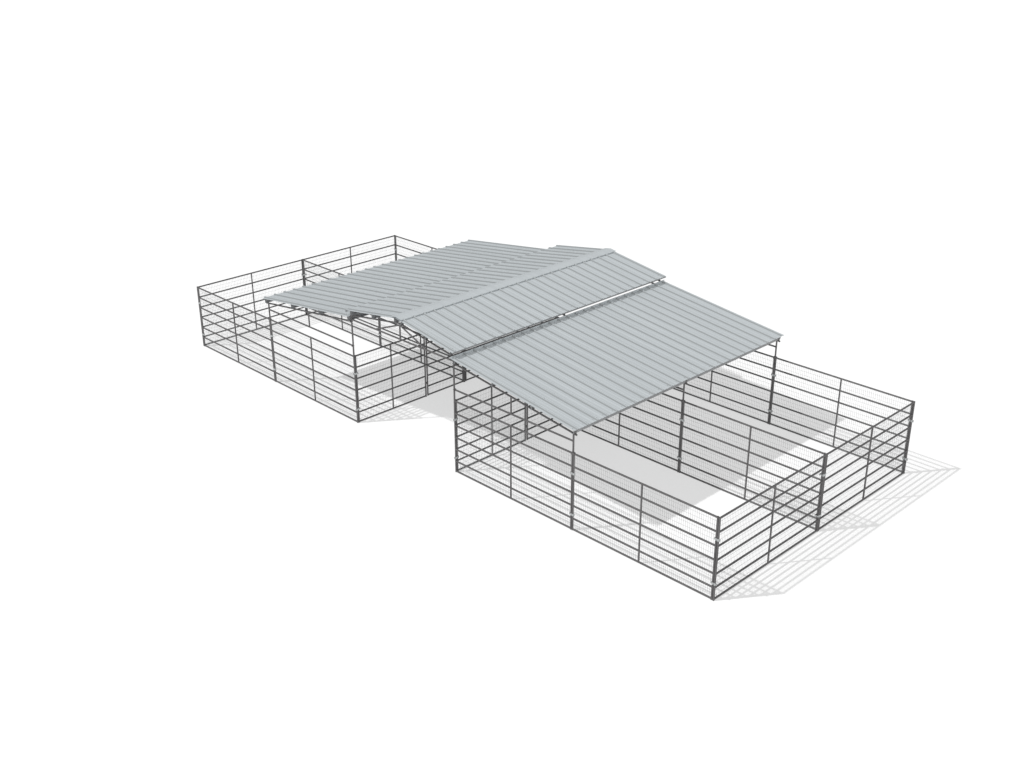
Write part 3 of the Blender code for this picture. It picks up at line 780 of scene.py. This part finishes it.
def end_clamps(end):
    """The clamps that hold a divider's last leg to the legs of both end panels beyond it."""
    bm = bmesh.new()
    bar_face = end - TUBE - FIT - CLAMP_THICKNESS
    legs_x = end + JOINT_GAP + TUBE / 2
    for level in CLAMP_LEVELS:
        low = level - CLAMP_HEIGHT / 2
        outline = rectangle(bar_face, CLAMP_HALF_WIDTH, low, level + CLAMP_HEIGHT / 2)
        stamp(bm, plate("clamp_bar", outline, (CLAMP_THICKNESS, 0, 0)))
        middle = shift(legs_x, 0, level)
        stamp(bm, half_plate, middle @ Matrix.Rotation(-math.pi / 2, 4, "Z"))
        for y in (-EAR_BOLT, EAR_BOLT):
            tube(bm, (bar_face, y, level), (legs_x + EAR_FACE, y, level), CLAMP_BOLT, sides=10)
            stamp(bm, clamp_bolt, middle @ shift(EAR_FACE, y, 0) @ FACE_PLUS_X)
            stamp(bm, clamp_bolt, shift(bar_face, y, level) @ FACE_MINUS_X)
    return finish_mesh(bm, "end_clamps")


panel_clamps = pair_clamps(PANEL_LENGTH)
front_clamps = pair_clamps(FRONT_START + FRONT_LENGTH)
divider_clamps = end_clamps(PANEL_LENGTH)
print("clamp faces:", len(panel_clamps.polygons), "and", len(divider_clamps.polygons))

# %% [markdown]
# ## Standing the pens up
#
# Every panel is the same, so it is modelled once and copied to its place. The left half of the
# building is the right half turned half round. In each half a row of panels runs along both sides
# and down the middle, and two more close the end.

# %% Panels, ends and stall fronts in place
def stand(node_name, meshes, place):
    """Puts a panel's tubes, wire and clamps in place of its frame solid."""
    tubes, wires, clamps = meshes
    piece(f"tubes_{node_name}", tubes, coated_pipe, place, nodes=[node_name])
    piece(f"wire_{node_name}", wires, wire_zinc, place, sharp_angle=70)
    if clamps:
        piece(f"clamps_{node_name}", clamps, zinc, place)


def rows_of(half):
    """The rows of one half by name, with their place along Y in that half."""
    near = -ROW_Y if half == "right" else ROW_Y
    return {"near": near, "middle": 0, "far": -near}


for half in HALVES:
    for row, y in rows_of(half).items():
        inside = -1 if y > 0 else 1
        stall_set = (panel_tubes, panel_wire[inside], panel_clamps)
        run_set = (panel_tubes, panel_wire[inside], panel_clamps if y else divider_clamps)
        run_x = AISLE_HALF + PANEL_LENGTH + JOINT_GAP
        stand(f"panel_{half}_{row}_stall", stall_set, spot(half, (AISLE_HALF, y, 0)))
        stand(f"panel_{half}_{row}_run", run_set, spot(half, (run_x, y, 0)))
        if y:
            hand = 1 if y > 0 else -1
            end_y = JOINT_GAP / 2 if y > 0 else -JOINT_GAP / 2 - PANEL_LENGTH
            end_set = (panel_tubes, panel_wire[1], None)
            stand(f"end_panel_{half}_{row}", end_set, spot(half, (END_X, end_y, 0), 90))
            front_set = (front_tubes, front_wire[-hand], front_clamps)
            front_place = spot(half, (AISLE_X, hand * HINGE_Y, 0), 90 * hand)
            stand(f"front_panel_{half}_{row}", front_set, front_place)
print("pieces so far:", len(made_pieces))

# %% [markdown]
# ## Gates
#
# A stall gate is a short panel with two straps bent round the hinge pins and two channels for its
# slide bolt. The channels sit on the aisle side, at the height of a hand.

# %% Gate tubes, straps and bolt channels
PIN_PLAY = 0.0006
STRAP_THICKNESS = 0.003
STRAP_HEIGHT = 0.038
STRAP_LIFT = 0.001
BOLT = 0.012
BOLT_PLAY = 0.0006
BOLT_STAND_OFF = 0.006
BOLT_OFFSET = TUBE / 2 + BOLT_STAND_OFF + BOLT / 2
GUIDE_WIDTH = 0.020
GUIDE_THICKNESS = 0.003
GUIDE_BEND = 0.0015
GUIDE_SPACING = 0.110
LATCH_LEG_X = HINGE_GAP / 2 + GATE_WIDTH - TUBE / 2
INNER_GUIDE_X = LATCH_LEG_X - GUIDE_SPACING


def half_round(centre_x, radius, height):
    """Points half round an upright axis, from its +Y side by way of -X to its -Y side."""
    angles = [math.pi / 2 + math.pi * step / ARC_STEPS for step in range(ARC_STEPS + 1)]
    places = [(centre_x + radius * math.cos(angle), radius * math.sin(angle)) for angle in angles]
    return [Vector((x, y, height)) for x, y in places]


def hinge_strap(level):
    """A strap bent round the pin, with both its ends welded to the gate's leg."""
    inside = PIN / 2 + PIN_PLAY
    low = level + STRAP_LIFT
    root = HINGE_GAP / 2 + TUBE / 4
    line = [(root, inside, low), *half_round(0, inside, low), (root, -inside, low)]
    return pressed("strap", line, (0, 0, STRAP_HEIGHT), STRAP_THICKNESS)


def bolt_channel(x, side):
    """A channel that holds the slide bolt against the gate."""
    inside = BOLT / 2 + BOLT_PLAY
    root = side * TUBE / 4
    inner = side * (BOLT_OFFSET + inside)
    first = LATCH_Z - side * inside
    last = LATCH_Z + side * inside
    start = x - GUIDE_WIDTH / 2
    line = [(start, root, first), (start, inner, first), (start, inner, last), (start, root, last)]
    return pressed("channel", line, (GUIDE_WIDTH, 0, 0), GUIDE_THICKNESS, GUIDE_BEND)


def gate_tubes(side):
    """A gate along +X from its hinge axis, with the bolt channels on the given side."""
    bm = frame_tubes(HINGE_GAP / 2, GATE_WIDTH, GATE_RAILS, GATE_LIFT, stubs=False)
    for level in CLAMP_LEVELS:
        stamp(bm, hinge_strap(level))
    for x in (LATCH_LEG_X, INNER_GUIDE_X):
        stamp(bm, bolt_channel(x, side))
    return finish_mesh(bm, "gate_tubes")


gates = {side: gate_tubes(side) for side in (-1, 1)}
gate_wire = {side: wire_sheet(HINGE_GAP / 2, GATE_WIDTH, GATE_RAILS, side) for side in (-1, 1)}
print("gate faces:", len(gates[1].polygons))

# %% [markdown]
# ## Slide bolts and keepers
#
# The bolt is a plain round bar with a knobbed handle. It is drawn back here, as the gates are
# closed but not latched. Both bolts of a half slide into one keeper on the middle leg.

# %% Slide bolt and keeper
BOLT_EDGE = 0.0012
BOLT_SETBACK = 0.004
BOLT_TRAVEL = 0.034
BOLT_TAIL = 0.006
HANDLE_WIDTH = 0.008
HANDLE_HEIGHT = 0.040
HANDLE_CLEARANCE = 0.012
KNOB = 0.014
KEEPER_LENGTH = 0.036
KEEPER_PLAY = 0.0015
KEEPER_THICKNESS = 0.004


def slide_bolt(side):
    """The round bolt, drawn back, with its handle."""
    bm = bmesh.new()
    y = side * BOLT_OFFSET
    tip = HINGE_GAP / 2 + GATE_WIDTH - BOLT_SETBACK
    tail = INNER_GUIDE_X - GUIDE_WIDTH / 2 - BOLT_TRAVEL - BOLT_TAIL
    tube(bm, (tail, y, LATCH_Z), (tip, y, LATCH_Z), BOLT, edge=BOLT_EDGE)
    x = INNER_GUIDE_X + GUIDE_WIDTH / 2 + HANDLE_CLEARANCE + HANDLE_WIDTH / 2
    top = LATCH_Z + BOLT / 2 + HANDLE_HEIGHT
    tube(bm, (x, y, LATCH_Z), (x, y, top - KNOB / 2), HANDLE_WIDTH, sides=12)
    knob_place = shift(x, y, top - KNOB / 2)
    bmesh.ops.create_uvsphere(bm, u_segments=14, v_segments=8, radius=KNOB / 2, matrix=knob_place)
    return finish_mesh(bm, "slide_bolt")


def keeper_mesh():
    """The channel on the aisle side of a middle leg that takes the bolts of both gates."""
    inside = BOLT / 2 + KEEPER_PLAY
    root = AISLE_X - TUBE / 2 - FIT
    inner = AISLE_X - BOLT_OFFSET - inside
    reach = KEEPER_LENGTH / 2
    low = LATCH_Z - inside
    high = LATCH_Z + inside
    corners = [(root, low), (inner, low), (inner, high), (root, high)]
    return rolled("keeper", corners, -reach, reach, KEEPER_THICKNESS, GUIDE_BEND)


bolts = {side: slide_bolt(side) for side in (-1, 1)}
keeper = keeper_mesh()
for half in HALVES:
    piece(f"keeper_{half}", keeper, zinc, spot(half), nodes=[f"latch_keeper_{half}"])
    for row, y in rows_of(half).items():
        if not y:
            continue
        hand = 1 if y > 0 else -1
        place = spot(half, (AISLE_X, hand * HINGE_Y, 0), -90 * hand)
        gate = f"gate_{half}_{row}"
        bolt = f"latch_bolt_{half}_{row}"
        piece(f"tubes_{gate}", gates[-hand], coated_pipe, place, gate, [gate])
        piece(f"wire_{gate}", gate_wire[hand], wire_zinc, place, gate, sharp_angle=70)
        piece(f"rod_{bolt}", bolts[-hand], zinc, place, bolt, [bolt])
print("pieces so far:", len(made_pieces))

# %% [markdown]
# ## Roof frame
#
# Three trusses carry each roof: over the row panels and over the divider. The gable trusses stand
# on the aisle legs. Each low truss hangs on that post with two U-bolts, and its outer post stands
# in a saddle over the joint between two panels. Upright clips welded to the rafters take the
# purlins.

# %% Lines of the roof
LOW_RAFTER_RISE = 0.901
LOW_TIE_RISE = 0.261
LOW_PITCH = 0.1275
RAFTER_STUB = 0.090
GABLE_RAFTER_RISE = 0.033
GABLE_CHORD_DROP = 0.110
GABLE_PITCH = 0.155
GABLE_RAFTER_REACH = 0.002
PURLIN_DEPTH = 5 * INCH
PURLIN_FLANGE = 2 * INCH
PURLIN_THICKNESS = 0.0025
LOW_PURLINS = 4
LOW_PURLIN_INSET = 0.055
LOW_EAVE_PURLIN_REACH = 0.047
GABLE_PURLINS = 3
GABLE_EAVE_PURLIN_INSET = 0.054
RIDGE_PURLIN_X = 0.105
LOW_RAFTER_Z = PANEL_HEIGHT + LOW_RAFTER_RISE
LOW_TIE_Z = PANEL_HEIGHT + LOW_TIE_RISE
GABLE_RAFTER_Z = LOW_RAFTER_Z + PURLIN_DEPTH + GABLE_RAFTER_RISE
GABLE_CHORD_Z = GABLE_RAFTER_Z - GABLE_CHORD_DROP
POST_FACE = AISLE_X + TUBE / 2
RAFTER_END = POST_FACE + GABLE_RAFTER_REACH


def spaced(first, last, count):
    """Evenly spaced places from the first to the last."""
    return [first + (last - first) * step / (count - 1) for step in range(count)]


LOW_PURLIN_PLACES = spaced(
    POST_FACE + LOW_PURLIN_INSET, OUTER_X + LOW_EAVE_PURLIN_REACH, LOW_PURLINS,
)
GABLE_PURLIN_PLACES = spaced(RIDGE_PURLIN_X, AISLE_X - GABLE_EAVE_PURLIN_INSET, GABLE_PURLINS)

RAFTERS = {"low": (LOW_RAFTER_Z, LOW_PITCH), "gable": (GABLE_RAFTER_Z, GABLE_PITCH)}
TILTS = {kind: math.atan(pitch) for kind, (_, pitch) in RAFTERS.items()}
PURLIN_PLACES = {"low": LOW_PURLIN_PLACES, "gable": GABLE_PURLIN_PLACES}


def rafter_z(kind, x):
    """Height of a rafter's centre line, which falls away from the ridge."""
    height, pitch = RAFTERS[kind]
    return height - pitch * (x - AISLE_X)


def on_rafter(kind, x):
    """The place of a purlin: on the rafter at x, tilted with the roof."""
    tilt = TILTS[kind]
    lift = Vector((math.sin(tilt), 0, math.cos(tilt))) * (TUBE / 2 + FIT)
    place = Vector((x, 0, rafter_z(kind, x))) + lift
    return Matrix.Translation(place) @ Matrix.Rotation(tilt, 4, "Y")


print("low purlins at", [round(x, 3) for x in LOW_PURLIN_PLACES])

# %% Clips, U-bolts and trusses
CLIP_THICKNESS = 0.005
CLIP_HALF_WIDTH = 0.032
CLIP_FOOT = -0.014
CLIP_HEIGHT = 0.095
CLIP_BOLTS = (0.032, 0.074)
U_BOLT = 0.008
U_BOLT_END = 0.014
TAB_HALF_WIDTH = 0.034
TAB_HALF_HEIGHT = 0.024
SADDLE_PLATE = 0.006
SADDLE_FLANGE = 0.004
SADDLE_DEPTH = 0.060

clip_outline = rectangle(FIT, CLIP_HALF_WIDTH, CLIP_FOOT, CLIP_HEIGHT)
clip = plate("clip", clip_outline, (CLIP_THICKNESS, 0, 0))
truss_nut = hex_bolt(width=0.013, height=0.0065, washer_width=0.018)


def u_bolt_tab(bm, height):
    """A tab on the end of a bar at the aisle post, and the U-bolt that holds it there."""
    face = POST_FACE + FIT
    radius = TUBE / 2 + FIT + U_BOLT / 2
    tab = rectangle(face, TAB_HALF_WIDTH, height - TAB_HALF_HEIGHT, height + TAB_HALF_HEIGHT)
    stamp(bm, plate("tab", tab, (SADDLE_PLATE, 0, 0)))
    ends = [Vector((face + U_BOLT_END, y, height)) for y in (radius, -radius)]
    bent_bar(bm, [ends[0], *half_round(AISLE_X, radius, height), ends[1]], U_BOLT / 2, sides=8)
    for y in (-radius, radius):
        stamp(bm, truss_nut, shift(face + SADDLE_PLATE, y, height) @ FACE_PLUS_X)


def low_truss():
    """A low truss with its outer post, its saddle and its clips."""
    bm = bmesh.new()
    inner = POST_FACE + FIT
    outer = OUTER_X + RAFTER_STUB
    ends = [(x, 0, rafter_z("low", x)) for x in (AISLE_X, outer)]
    rafter = tube(bm, *ends, TUBE)
    cut(bm, rafter, (inner, 0, 0), (-1, 0, 0))
    tube(bm, (inner, 0, LOW_TIE_Z), (OUTER_X, 0, LOW_TIE_Z), TUBE)
    stamp(bm, rail_bead, shift(OUTER_X, 0, LOW_TIE_Z) @ TURN_LEFT)
    middle = (AISLE_X + OUTER_X) / 2
    web(bm, middle, LOW_TIE_Z, rafter_z("low", middle))
    ceiling = PANEL_HEIGHT + FIT
    top = ceiling + SADDLE_PLATE
    post_top = rafter_z("low", OUTER_X)
    tube(bm, (OUTER_X, 0, ceiling + SADDLE_PLATE / 2), (OUTER_X, 0, post_top), TUBE)
    stamp(bm, rail_bead, shift(OUTER_X, 0, post_top) @ STAND_DOWN)
    inside = TUBE / 2 + FIT
    outside = inside + SADDLE_FLANGE
    skirt = top - SADDLE_DEPTH
    corners = (
        (-outside, skirt), (-inside, skirt), (-inside, ceiling), (inside, ceiling),
        (inside, skirt), (outside, skirt), (outside, top), (-outside, top),
    )
    outline = [(OUTER_X - TUBE - JOINT_GAP / 2, y, z) for y, z in corners]
    stamp(bm, plate("saddle", outline, (2 * TUBE + JOINT_GAP, 0, 0)))
    for height in (LOW_TIE_Z, rafter_z("low", inner)):
        u_bolt_tab(bm, height)
    for x in LOW_PURLIN_PLACES:
        stamp(bm, clip, on_rafter("low", x))
    return finish_mesh(bm, "low_truss")


def gable_truss():
    """A gable truss on its aisle posts: rafters, chord, king post, diagonals and clips."""
    bm = bmesh.new()
    peak = rafter_z("gable", 0)
    beyond = RAFTER_END + TUBE
    for half, turn in HALVES.items():
        side = 1 if half == "right" else -1
        rafter = tube(bm, (0, 0, peak), (side * beyond, 0, rafter_z("gable", beyond)), TUBE)
        cut(bm, rafter, (side * RAFTER_END, 0, 0), (side, 0, 0))
        post_x = side * AISLE_X
        tube(bm, (post_x, 0, PANEL_HEIGHT + FIT), (post_x, 0, rafter_z("gable", AISLE_X)), TUBE)
        stamp(bm, rail_bead, turn @ shift(AISLE_X, 0, GABLE_CHORD_Z) @ TURN_LEFT)
        tube(bm, (post_x / 2, 0, GABLE_CHORD_Z), (0, 0, peak - TUBE), LIGHT_TUBE)
        for x in GABLE_PURLIN_PLACES:
            stamp(bm, clip, turn @ on_rafter("gable", x))
    tube(bm, (0, 0, GABLE_CHORD_Z), (0, 0, peak), LIGHT_TUBE)
    stamp(bm, stub_bead, shift(0, 0, GABLE_CHORD_Z) @ STAND_UP)
    tube(bm, (-AISLE_X, 0, GABLE_CHORD_Z), (AISLE_X, 0, GABLE_CHORD_Z), TUBE)
    return finish_mesh(bm, "gable_truss")


low_truss_mesh = low_truss()
gable_truss_mesh = gable_truss()
for half in HALVES:
    for row, y in rows_of(half).items():
        name = f"low_truss_{half}_{row}"
        piece(f"tubes_{name}", low_truss_mesh, coated_pipe, spot(half, (0, y, 0)), nodes=[name])
for row, y in rows_of("right").items():
    name = f"gable_truss_{row}"
    piece(f"tubes_{name}", gable_truss_mesh, coated_pipe, shift(0, y, 0), nodes=[name])
print("truss faces:", len(low_truss_mesh.polygons), "and", len(gable_truss_mesh.polygons))

# %% [markdown]
# ## Purlins
#
# The purlins are C-channels rolled from strip, with a short lip on each flange and a small radius
# at every bend. They lie on the rafters with their flanges uphill, bolted to the clips.

# %% Purlins and their bolts
PURLIN_LIP = 0.016
PURLIN_BEND = 0.004
PURLIN_SETBACK = 0.045
RIB_BASE = 0.070
SHEET_EDGE = 0.060
ROOF_HALF_LENGTH = PANEL_LENGTH + RIB_BASE / 2 + SHEET_EDGE
PURLIN_HALF_LENGTH = ROOF_HALF_LENGTH - PURLIN_SETBACK


def purlin_mesh():
    """A lipped channel along Y that rests at z = 0, with the outer face of its web at x = 0."""
    corners = [
        (-PURLIN_FLANGE, PURLIN_LIP), (-PURLIN_FLANGE, 0), (0, 0), (0, PURLIN_DEPTH),
        (-PURLIN_FLANGE, PURLIN_DEPTH), (-PURLIN_FLANGE, PURLIN_DEPTH - PURLIN_LIP),
    ]
    ends = (-PURLIN_HALF_LENGTH, PURLIN_HALF_LENGTH)
    return rolled("purlin", corners, *ends, PURLIN_THICKNESS, PURLIN_BEND)


def purlin_bolts(kind):
    """The bolts through clip and purlin, on every rafter of one slope."""
    bm = bmesh.new()
    for x in PURLIN_PLACES[kind]:
        for y in (-ROW_Y, 0, ROW_Y):
            for height in CLIP_BOLTS:
                head = shift(FIT + CLIP_THICKNESS, 0, height) @ FACE_PLUS_X
                stamp(bm, truss_nut, shift(0, y, 0) @ on_rafter(kind, x) @ head)
    return finish_mesh(bm, "purlin_bolts")


purlin = purlin_mesh()
for half, turn in HALVES.items():
    for kind, places in PURLIN_PLACES.items():
        for index, x in enumerate(places, start=1):
            name = f"{kind}_purlin_{half}_{index}"
            piece(f"channel_{name}", purlin, rolled_steel, turn @ on_rafter(kind, x), nodes=[name])
        piece(f"bolts_{kind}_purlins_{half}", purlin_bolts(kind), zinc, turn)
print("purlin faces:", len(purlin.polygons))

# %% [markdown]
# ## Roof sheets
#
# Each sheet covers three feet and has a tall rib every foot, with two low stiffening ribs between.
# A sheet's last rib slips under the next sheet's first one, which keeps the joint above running
# water. Screws with sealing washers hold the sheets to every purlin, beside the ribs.

# %% Ribbed sheets with screws
RIB_PITCH = FOOT
RIB_HEIGHT = 1.25 * INCH
RIB_TOP = 0.025
LOW_RIB_HEIGHT = 0.004
LOW_RIB_BASE = 0.044
LOW_RIB_TOP = 0.018
SHEET_LEVEL = 0.001
SHEET_GAUGE = 0.0008
SHEET_BEND = 0.003
SHEETS = 8
RIBS_PER_SHEET = 3
RIB_PLACES = [rib * RIB_PITCH - PANEL_LENGTH for rib in range(SHEETS * RIBS_PER_SHEET + 1)]
LAP_DROP = 0.0012
SCREW_BESIDE_RIB = 0.055
SCREW_ON_FLANGE = 0.025


def sheet_bed(kind, x):
    """Height of the underside of the roof sheets."""
    stack = TUBE / 2 + FIT + PURLIN_DEPTH + FIT
    return rafter_z(kind, x) + stack * math.hypot(1, RAFTERS[kind][1])


def ridge(centre, base, top, height):
    """The four bends of a rib: pairs of place along the roof and height."""
    rise = [(centre - base / 2, 0), (centre - top / 2, height)]
    return rise + [(centre + top / 2, height), (centre + base / 2, 0)]


def sheet_line(index):
    """The bent line across one sheet."""
    first = RIB_PLACES[index * RIBS_PER_SHEET]
    line = [(-ROOF_HALF_LENGTH, 0)] if index == 0 else []
    for rib in range(RIBS_PER_SHEET):
        centre = first + rib * RIB_PITCH
        line += ridge(centre, RIB_BASE, RIB_TOP, RIB_HEIGHT)
        for third in (1, 2):
            between_ribs = centre + third * RIB_PITCH / 3
            line += ridge(between_ribs, LOW_RIB_BASE, LOW_RIB_TOP, LOW_RIB_HEIGHT)
    centre = first + RIBS_PER_SHEET * RIB_PITCH
    if index == SHEETS - 1:
        return line + ridge(centre, RIB_BASE, RIB_TOP, RIB_HEIGHT) + [(ROOF_HALF_LENGTH, 0)]
    lapped = ridge(centre, RIB_BASE - 2 * LAP_DROP, RIB_TOP - LAP_DROP, RIB_HEIGHT - LAP_DROP)
    return line + lapped[:3]


def ribbed_slope(kind, top_x, eave_x):
    """All the sheets of one slope, and their screws as a second mesh."""
    sheets = bmesh.new()
    places = PURLIN_PLACES[kind]
    top = sheet_bed(kind, top_x) + SHEET_LEVEL
    fall = Vector((eave_x - top_x, 0, sheet_bed(kind, eave_x) + SHEET_LEVEL - top))
    for index in range(SHEETS):
        line = [(top_x, y, top + rise) for y, rise in sheet_line(index)]
        stamp(sheets, pressed("sheet", line, fall, SHEET_GAUGE, SHEET_BEND))
    screws = bmesh.new()
    tilt = Matrix.Rotation(TILTS[kind], 4, "Y")
    for number, web_x in enumerate(places):
        x = web_x - SCREW_ON_FLANGE + math.sin(TILTS[kind]) * PURLIN_DEPTH
        sides = (-1, 1) if number in (0, len(places) - 1) else (1,)
        seat_z = sheet_bed(kind, x) + SHEET_LEVEL
        for rib_y in RIB_PLACES:
            for side in sides:
                seat = shift(x, rib_y + side * SCREW_BESIDE_RIB, seat_z)
                stamp(screws, roof_screw, seat @ tilt)
    return finish_mesh(sheets, "sheets"), finish_mesh(screws, "screws")


print("ribs on each slope:", len(RIB_PLACES))

# %% Roof slopes in place
SHEET_CLEARANCE = 0.002
LOW_EAVE_DRIP = 0.036
RIDGE_GAP = 0.012
GABLE_EAVE_DRIP = 0.135
LOW_TOP = RAFTER_END + SHEET_CLEARANCE
LOW_EAVE = OUTER_X + RAFTER_STUB + LOW_EAVE_DRIP
GABLE_EAVE = GABLE_PURLIN_PLACES[-1] + GABLE_EAVE_DRIP
SHEET_ENDS = {"low": (LOW_TOP, LOW_EAVE), "gable": (RIDGE_GAP, GABLE_EAVE)}
for kind, ends in SHEET_ENDS.items():
    sheets, screws = ribbed_slope(kind, *ends)
    for half, turn in HALVES.items():
        name = f"{kind}_roof_sheets_{half}"
        piece(f"ribbed_{name}", sheets, roof_sheet, turn, nodes=[name], sharp_angle=50)
        piece(f"screws_{kind}_roof_{half}", screws, zinc, turn)
    print(kind, "roof:", len(sheets.polygons), "sheet faces,", len(screws.polygons), "screw faces")

# %% [markdown]
# ## Eaves
#
# Each rib is hollow and ends open at the eave, so a plug closes it against birds and driven rain.
# Below the gable's sheets a folded trim hides their edge, and shows as the dark band under that
# eave. At the top of the low roofs an upstand closes the ribs and stops rain that is blown up the
# slope.

# %% Rib plugs and eave trim
PLUG_SETBACK = 0.006
PLUG_THICKNESS = 0.002
PLUG_GAP = 0.002
RIB_PLUG_EDGE = 0.0003
TRIM_LEG = 0.055
TRIM_DROP = 0.036
TRIM_RETURN = 0.012
TRIM_RETURN_DROP = 0.004
TRIM_GAUGE = 0.0008
TRIM_BEND = 0.002
UPSTAND_CLEARANCE = 0.001
UPSTAND_X = RAFTER_END + UPSTAND_CLEARANCE
UPSTAND_HEIGHT = 0.045
UPSTAND_FOOT = 0.004
UPSTAND_HEM = 0.010
ROOF_ENDS = (-ROOF_HALF_LENGTH, ROOF_HALF_LENGTH)


def rib_plugs(kind):
    """The plugs in the ends of one slope's ribs."""
    bm = bmesh.new()
    x = SHEET_ENDS[kind][1] - PLUG_SETBACK
    bed = sheet_bed(kind, x) + SHEET_LEVEL
    high = bed + RIB_HEIGHT - PLUG_GAP
    base = RIB_BASE / 2 - PLUG_GAP
    top = RIB_TOP / 2 - PLUG_GAP
    for y in RIB_PLACES:
        outline = [(x, y - base, bed), (x, y + base, bed), (x, y + top, high), (x, y - top, high)]
        stamp(bm, plate("plug", outline, (-PLUG_THICKNESS, 0, 0), RIB_PLUG_EDGE))
    return finish_mesh(bm, "plugs")


def eave_trim():
    """The folded trim under the gable's sheets: a leg along them, a drop and a small return."""
    x = GABLE_EAVE - PLUG_SETBACK
    root = x - TRIM_LEG
    bed = sheet_bed("gable", x)
    foot = bed - TRIM_DROP
    corners = [
        (root, sheet_bed("gable", root)), (x, bed), (x, foot),
        (x - TRIM_RETURN, foot - TRIM_RETURN_DROP),
    ]
    return rolled("eave_trim", corners, *ROOF_ENDS, TRIM_GAUGE, TRIM_BEND)


def upstand():
    """The strip that stands along the top edge of a low roof, with a hem turned downhill."""
    bed = sheet_bed("low", UPSTAND_X)
    top = bed + UPSTAND_HEIGHT
    corners = [(UPSTAND_X, bed - UPSTAND_FOOT), (UPSTAND_X, top), (UPSTAND_X + UPSTAND_HEM, top)]
    return rolled("upstand", corners, *ROOF_ENDS, TRIM_GAUGE, TRIM_BEND)


before_eaves = len(made_pieces)
for half, turn in HALVES.items():
    for kind in SHEET_ENDS:
        piece(f"plugs_{kind}_eave_{half}", rib_plugs(kind), roof_sheet, turn)
    piece(f"trim_gable_eave_{half}", eave_trim(), rolled_steel, turn)
    piece(f"upstand_low_roof_{half}", upstand(), roof_sheet, turn)
print("eave pieces:", len(made_pieces) - before_eaves)

# %% [markdown]
# ## Ridge cap
#
# A folded strip covers the gap at the ridge. It comes in three lengths, the middle one lapped over
# the others, and is stitched to the top of every rib.

# %% Ridge cap
CAP_WING = 0.190
CAP_GAUGE = 0.0005
CAP_BEND = 0.012
CAP_MIDDLE = 1.30
CAP_LAP = 0.10
CAP_JOINT = CAP_MIDDLE - CAP_LAP
CAP_LENGTHS = (
    (-ROOF_HALF_LENGTH, -CAP_JOINT, 0),
    (-CAP_MIDDLE, CAP_MIDDLE, 1),
    (CAP_JOINT, ROOF_HALF_LENGTH, 0),
)
CAP_SCREW_INSET = 0.020
CAP_SCREW_X = CAP_WING - CAP_SCREW_INSET

cap_bm = bmesh.new()
cap_screws = bmesh.new()
cap_rest = RIB_HEIGHT + SHEET_LEVEL + FIT
wing_z = sheet_bed("gable", CAP_WING) + cap_rest
fold_z = sheet_bed("gable", 0) + cap_rest
for start, end, layer in CAP_LENGTHS:
    lift = layer * CAP_GAUGE
    corners = [(-CAP_WING, wing_z + lift), (0, fold_z + lift), (CAP_WING, wing_z + lift)]
    stamp(cap_bm, rolled("cap", corners, start, end, CAP_GAUGE, CAP_BEND))
cap_tilt = Matrix.Rotation(TILTS["gable"], 4, "Y")
screw_z = sheet_bed("gable", CAP_SCREW_X) + cap_rest + 2 * CAP_GAUGE
for turn in HALVES.values():
    for y in RIB_PLACES:
        stamp(cap_screws, roof_screw, turn @ shift(CAP_SCREW_X, y, screw_z) @ cap_tilt)
piece("folded_ridge_cap", finish_mesh(cap_bm, "cap"), roof_sheet, nodes=["ridge_cap"])
piece("screws_ridge_cap", finish_mesh(cap_screws, "cap_screws"), zinc)
print("cap lengths:", len(CAP_LENGTHS), "with", len(HALVES) * len(RIB_PLACES), "screws")

# %% [markdown]
# ## Closures
#
# Between the ribs the cap would leave a row of open slots for wind, snow and birds. A short upright
# piece of folded sheet closes each slot, just behind the cap's edge.

# %% Closures under the cap
CLOSURE_SETBACK = 0.014
CLOSURE_X = CAP_WING - CLOSURE_SETBACK
CLOSURE_GAUGE = 0.001
CLOSURE_GAP = 0.0015
CLOSURE_EDGE = 0.0002

closures = bmesh.new()
closure_bed = sheet_bed("gable", CLOSURE_X) + SHEET_LEVEL
for left_rib in RIB_PLACES[:-1]:
    corners = []
    for rise in (LOW_RIB_HEIGHT + CLOSURE_GAP, RIB_HEIGHT - CLOSURE_GAP):
        inset = RIB_BASE / 2 - (RIB_BASE - RIB_TOP) / 2 * rise / RIB_HEIGHT + CLOSURE_GAP
        ends = (left_rib + inset, left_rib + RIB_PITCH - inset)
        corners.append([(CLOSURE_X, y, closure_bed + rise) for y in ends])
    outline = corners[0] + corners[1][::-1]
    for turn in HALVES.values():
        closure = plate("closure", outline, (-CLOSURE_GAUGE, 0, 0), CLOSURE_EDGE)
        stamp(closures, closure, turn)
piece("closures_ridge_cap", finish_mesh(closures, "closures"), roof_sheet)
print("pieces in all:", len(made_pieces))
